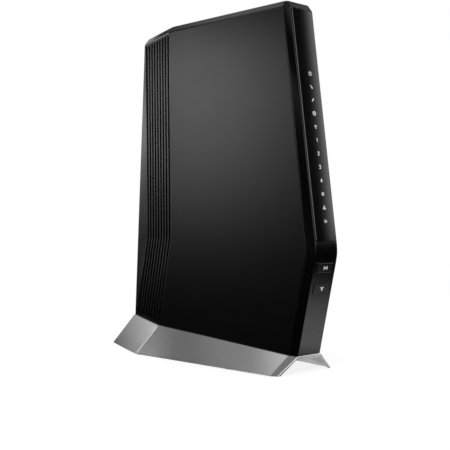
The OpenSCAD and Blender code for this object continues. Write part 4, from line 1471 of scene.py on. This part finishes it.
    def prints(self) -> None:
        """Signs beside the ports."""
        strokes = Strokes(REAR_FACE, self.print_lift)
        signs = [(Pictogram.POWER, self.power), (Pictogram.SPEED, self.fast_jack),
                 (Pictogram.GLOBE, self.coax)]
        digits = (Pictogram.ONE, Pictogram.TWO, Pictogram.THREE, Pictogram.FOUR)
        signs += [(sign, self.first_jack + i * self.jack_pitch) for i, sign in enumerate(digits)]
        for sign, height in signs:
            sign.draw(strokes, (self.print_x, height), 1.0)
        self.shop.piece("rear_signs", strokes.finished(), Finishes.INK.value, Body.HOUSING, None)

    def build(self) -> None:
        """Softens and dresses the ports and fills them."""
        jacks = ["lan_jack_%d" % i for i in range(1, 5)]
        self.shop.dress_nodes(Finishes.SHIELD.value, *jacks, "fast_lan_jack", "usb_socket")
        self.shop.dress_nodes(Finishes.BRASS.value, "coax_connector")
        self.shop.softened("coax_nut", Finishes.SHIELD.value, *self.nut_round)
        self.shop.dress_nodes(Finishes.JACK.value, "power_inlet")
        self.shop.softened("power_button", Finishes.BUTTON.value, *self.power_round)
        self.shop.dress_nodes(Finishes.BUTTON.value, "reset_button")
        self.shop.dress_nodes(Finishes.INNER.value, "power_switch", "reset_switch")
        self.shop.piece("jack_liners", self.liners(), Finishes.JACK.value, Body.HOUSING, None)
        self.contacts()
        self.thread()
        self.small_parts()
        self.prints()


@dataclass
class Inside:
    """The main board and what stands on it."""

    shop: Workshop
    shank: float = 6.0
    screw_columns: Row = (2, -40.5, 54.5)
    screw_rows: Row = (3, 53.0, 91.25)

    def build(self) -> None:
        """Dresses the inner pieces and sets the board's screws."""
        self.shop.dress_nodes(Finishes.BOARD.value, "main_board")
        self.shop.dress_nodes(Finishes.INNER.value, "chips", "capacitors")
        self.shop.dress_nodes(Finishes.SINK.value, "processor_heat_sink", "modem_heat_sink")
        self.shop.dress_nodes(Finishes.SHIELD.value, "radio_shields", "tuner_can")
        self.shop.dress_nodes(Finishes.ANTENNA.value, "left_antennas", "right_antennas")
        Screws(self.shop).build("board_screws", BOARD_FACE, self.shank, self.screw_columns, self.screw_rows)


@dataclass(frozen=True)
class Glow:
    """A soft patch of light on the tent that the object's shine shows.

    The name says where the patch is. The turn is in degrees from +X, the height in metres: up the wall,
    below zero from the wall inwards on the floor, and above the wall's own height inwards on the lid. Each
    has a start, a full, a fade and an end. The lean turns the patch by so many degrees for each metre of
    height.
    """

    name: str
    level: float
    turn: Ramp
    height: Ramp
    lean: float = 0.0

    def draw(self, turn: Value, height: Value) -> Value:
        """The patch's level at a place on the tent."""
        leaning = turn - self.lean * height if self.lean else turn
        return self.level * leaning.band(*self.turn) * height.band(*self.height)


GLOWS = (
    Glow("rear left wall", 3.2, (135.5, 141.0, 142.0, 164.0), (0.01, 0.4, 0.44, 0.5)),
    Glow("rear right wall", 2.4, (15.0, 39.0, 41.0, 50.0), (0.01, 0.4, 0.44, 0.5)),
    Glow("right front wall", 3.2, (-52.0, -36.5, -18.0, 2.0), (0.2, 0.26, 0.9, 1.2), 10.0),
    Glow("front strip", 4.0, (-106.0, -101.0, -96.0, -91.0), (0.15, 0.4, 0.6, 0.85)),
    Glow("front left rim", 0.5, (-150.0, -135.0, -108.0, -96.0), (0.78, 0.9, 1.6, 1.9)),
    Glow("front left wall", 0.7, (-138.0, -127.0, -90.0, -84.0), (-0.05, 0.05, 0.9, 1.2)),
    Glow("front right wall", 0.5, (-90.0, -84.0, -63.0, -55.0), (0.1, 0.25, 0.9, 1.2)),
    Glow("left wall, front half", 0.5, (-182.0, -181.0, -164.0, -152.0), (0.35, 0.5, 0.9, 1.2)),
    Glow("left wall, rear half", 0.5, (168.0, 175.0, 181.0, 182.0), (0.35, 0.5, 0.9, 1.2)),
    Glow("low rear strip", 4.2, (111.0, 116.0, 123.0, 127.0), (0.01, 0.3, 0.33, 0.38)),
    Glow("right front rim", 1.5, (-70.0, -60.0, -38.0, -28.0), (1.3, 1.4, 1.6, 1.75)),
    Glow("low rear veil", 0.45, (50.0, 80.0, 104.0, 112.0), (-0.05, 0.3, 0.4, 0.5)),
    Glow("rear strip", 1.5, (73.0, 78.0, 84.0, 89.0), (0.5, 0.56, 0.72, 0.8)),
    Glow("rear right veil", 0.22, (40.0, 50.0, 70.0, 78.0), (0.4, 0.5, 0.8, 0.95)),
    Glow("small rear spot", 2.5, (102.0, 105.0, 112.0, 116.0), (0.3, 0.34, 0.4, 0.44)),
    Glow("rear left veil", 0.27, (80.0, 100.0, 136.0, 150.0), (0.3, 0.9, 1.6, 1.9)),
    Glow("rear rim", 0.5, (60.0, 80.0, 108.0, 116.0), (1.0, 1.15, 1.5, 1.8)),
    Glow("lid", 0.22, (-182.0, -181.0, 181.0, 182.0), (1.15, 1.5, 3.0, 4.0)),
    Glow("floor round the stand", 1.2, (-110.0, -80.0, 60.0, 90.0), (-0.785, -0.76, -0.75, -0.6)),
    Glow("floor under the stand", 0.5, (-110.0, -80.0, 80.0, 110.0), (-0.99, -0.95, -0.79, -0.75)),
)


@dataclass(frozen=True)
class Softbox:
    """A soft lamp in metres; at level 1 it is as bright as white paper."""

    name: str
    place: Triple
    target: Triple
    width: float
    height: float
    level: float

    def build(self) -> None:
        """Makes the lamp, which is not seen itself and not mirrored."""
        data = bpy.data.lights.new(self.name, "AREA")
        data.shape = "RECTANGLE"
        data.size = self.width
        data.size_y = self.height
        data.energy = self.level * math.pi * self.width * self.height
        lamp = linked(self.name, data)
        lamp.location = self.place
        aim = Vector(self.target) - Vector(self.place)
        lamp.rotation_euler = aim.to_track_quat("-Z", "Y").to_euler()
        lamp.visible_camera = False
        lamp.visible_glossy = False


SOFTBOXES = (
    Softbox("rear_left_softbox", (-0.66, 0.88, 0.48), (-0.06, 0.08, 0.4), 1.0, 0.6, 2.4),
    Softbox("front_softbox", (-0.9, -1.1, 1.5), (0.0, 0.0, 0.12), 1.0, 1.0, 2.0),
    Softbox("right_softbox", (1.1, -0.62, 0.55), (0.0, 0.0, 0.2), 0.5, 0.6, 4.0),
)


@dataclass
class Studio:
    """Floor, tent, world, lamps and camera."""

    lens: float = 65.72
    sensor: float = 36.0
    nearest: float = 0.01
    eye: Triple = (-0.4341, -0.5145, 0.10757)
    yaw: float = -40.715
    room_level: float = 0.4
    floor_half: float = 6.0
    floor_grey: float = 0.8
    floor_dull: float = 0.4
    floor_level: float = 0.8
    floor_fade: Point = (0.3, 0.75)
    tent_radius: float = 0.9
    tent_height: float = 1.4
    tent_lift: float = 0.0003
    tent_sides: int = 96
    tent_seam: float = 1e-5

    def camera(self) -> None:
        """Sets the camera where the photograph was taken."""
        data = bpy.data.cameras.new("camera")
        data.lens = self.lens
        data.sensor_width = self.sensor
        data.clip_start = self.nearest
        camera = linked("camera", data)
        camera.location = self.eye
        camera.rotation_euler = Euler((math.pi / 2.0, 0.0, math.radians(self.yaw)))
        bpy.context.scene.camera = camera

    @staticmethod
    def seen(shader: Shader) -> Value:
        """Tells the rays that show a thing from those that light it.

        Args:
            shader: the tree that asks.

        Returns:
            One for camera, glossy and transmission rays, else zero.
        """
        path = shader.add("ShaderNodeLightPath")
        camera = Value(shader, path.outputs["Is Camera Ray"])
        glossy = Value(shader, path.outputs["Is Glossy Ray"])
        through = Value(shader, path.outputs["Is Transmission Ray"])
        return camera.larger(glossy).larger(through)

    def world(self) -> None:
        """A plain grey room that shows white behind the object."""
        world = bpy.data.worlds.new("room")
        bpy.context.scene.world = world
        world.use_nodes = True
        shader = Shader(world.node_tree)
        room = shader.light("ShaderNodeBackground", self.room_level)
        white = shader.light("ShaderNodeBackground", 1.0)
        shader.shown(shader.blend(self.seen(shader), room, white), "ShaderNodeOutputWorld")

    def floor(self) -> None:
        """A pale floor that keeps the object's shadow."""
        mesh = bmesh.new()
        bmesh.ops.create_grid(mesh, x_segments=1, y_segments=1, size=self.floor_half)
        floor = solid("floor", mesh)
        material = node_material("pale_floor")
        shader = Shader(material.node_tree)
        away = shader.number("ShaderNodeVectorMath", {"operation": "LENGTH"}, {0: shader.place()}, "Value")
        start, end = self.floor_fade
        far = shader.ramp(away, [(start, 0.0), (end, 1.0)])
        base = shader.light("ShaderNodeEmission", self.floor_level)
        near = shader.add("ShaderNodeAddShader", None, {0: shader.matte(self.floor_dull), 1: base})
        shown = shader.blend(far, near.outputs[0], shader.light("ShaderNodeEmission", 1.0))
        shader.shown(shader.blend(self.seen(shader), shader.matte(self.floor_grey), shown))
        floor.data.materials.append(material)

    def tent(self) -> None:
        """A round tent around the object whose soft patches of light only its shine shows."""
        mesh = bmesh.new()
        rim = self.tent_radius
        low, high = self.tent_lift, self.tent_height
        corners = ((0.0, low), (rim, low), (rim, high), (0.0, high))
        outline = [mesh.verts.new((radius, 0.0, height)) for radius, height in corners]
        edges = [mesh.edges.new(pair) for pair in zip(outline, outline[1:])]
        bmesh.ops.spin(mesh, geom=outline + edges, cent=STILL, axis=(0.0, 0.0, 1.0), angle=2.0 * math.pi,
                       steps=self.tent_sides)
        bmesh.ops.remove_doubles(mesh, verts=mesh.verts, dist=self.tent_seam)
        tent = solid("light_tent", mesh)
        material = node_material("light_tent")
        shader = Shader(material.node_tree)
        split = shader.add("ShaderNodeSeparateXYZ", None, {0: shader.place()})
        x, y, z = (Value(shader, split.outputs[i]) for i in range(3))
        turn = shader.number("ShaderNodeMath", {"operation": "ARCTAN2"}, {0: y, 1: x}) * math.degrees(1.0)
        away = shader.number("ShaderNodeMath", {"operation": "SQRT"}, {0: x * x + y * y})
        side = 2.0 * z.above(self.tent_height / 2.0) - 1.0
        height = z + side * (rim - away)
        level = GLOWS[0].draw(turn, height)
        for glow in GLOWS[1:]:
            level = level + glow.draw(turn, height)
        light = shader.add("ShaderNodeEmission", None, {"Color": level, "Strength": 1.0})
        shader.shown(light.outputs[0])
        tent.data.materials.append(material)
        tent.visible_camera = False
        tent.visible_diffuse = False
        tent.visible_transmission = False
        tent.visible_shadow = False

    def build(self) -> None:
        """Sets the whole scene."""
        self.camera()
        self.world()
        self.floor()
        self.tent()
        for softbox in SOFTBOXES:
            softbox.build()
        bpy.context.scene.view_settings.view_transform = "Standard"


def main() -> None:
    """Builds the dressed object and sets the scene."""
    logging.basicConfig(level=logging.INFO, format="%(message)s")
    for stray in list(bpy.data.objects):
        bpy.data.objects.remove(stray)
    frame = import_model()
    Studio().build()
    shop = Workshop(frame)
    for kind in (Housing, Stand, LampWindow, FrontButtons, RearPorts, Inside):
        kind(shop).build()


if __name__ == "__main__":
    main()
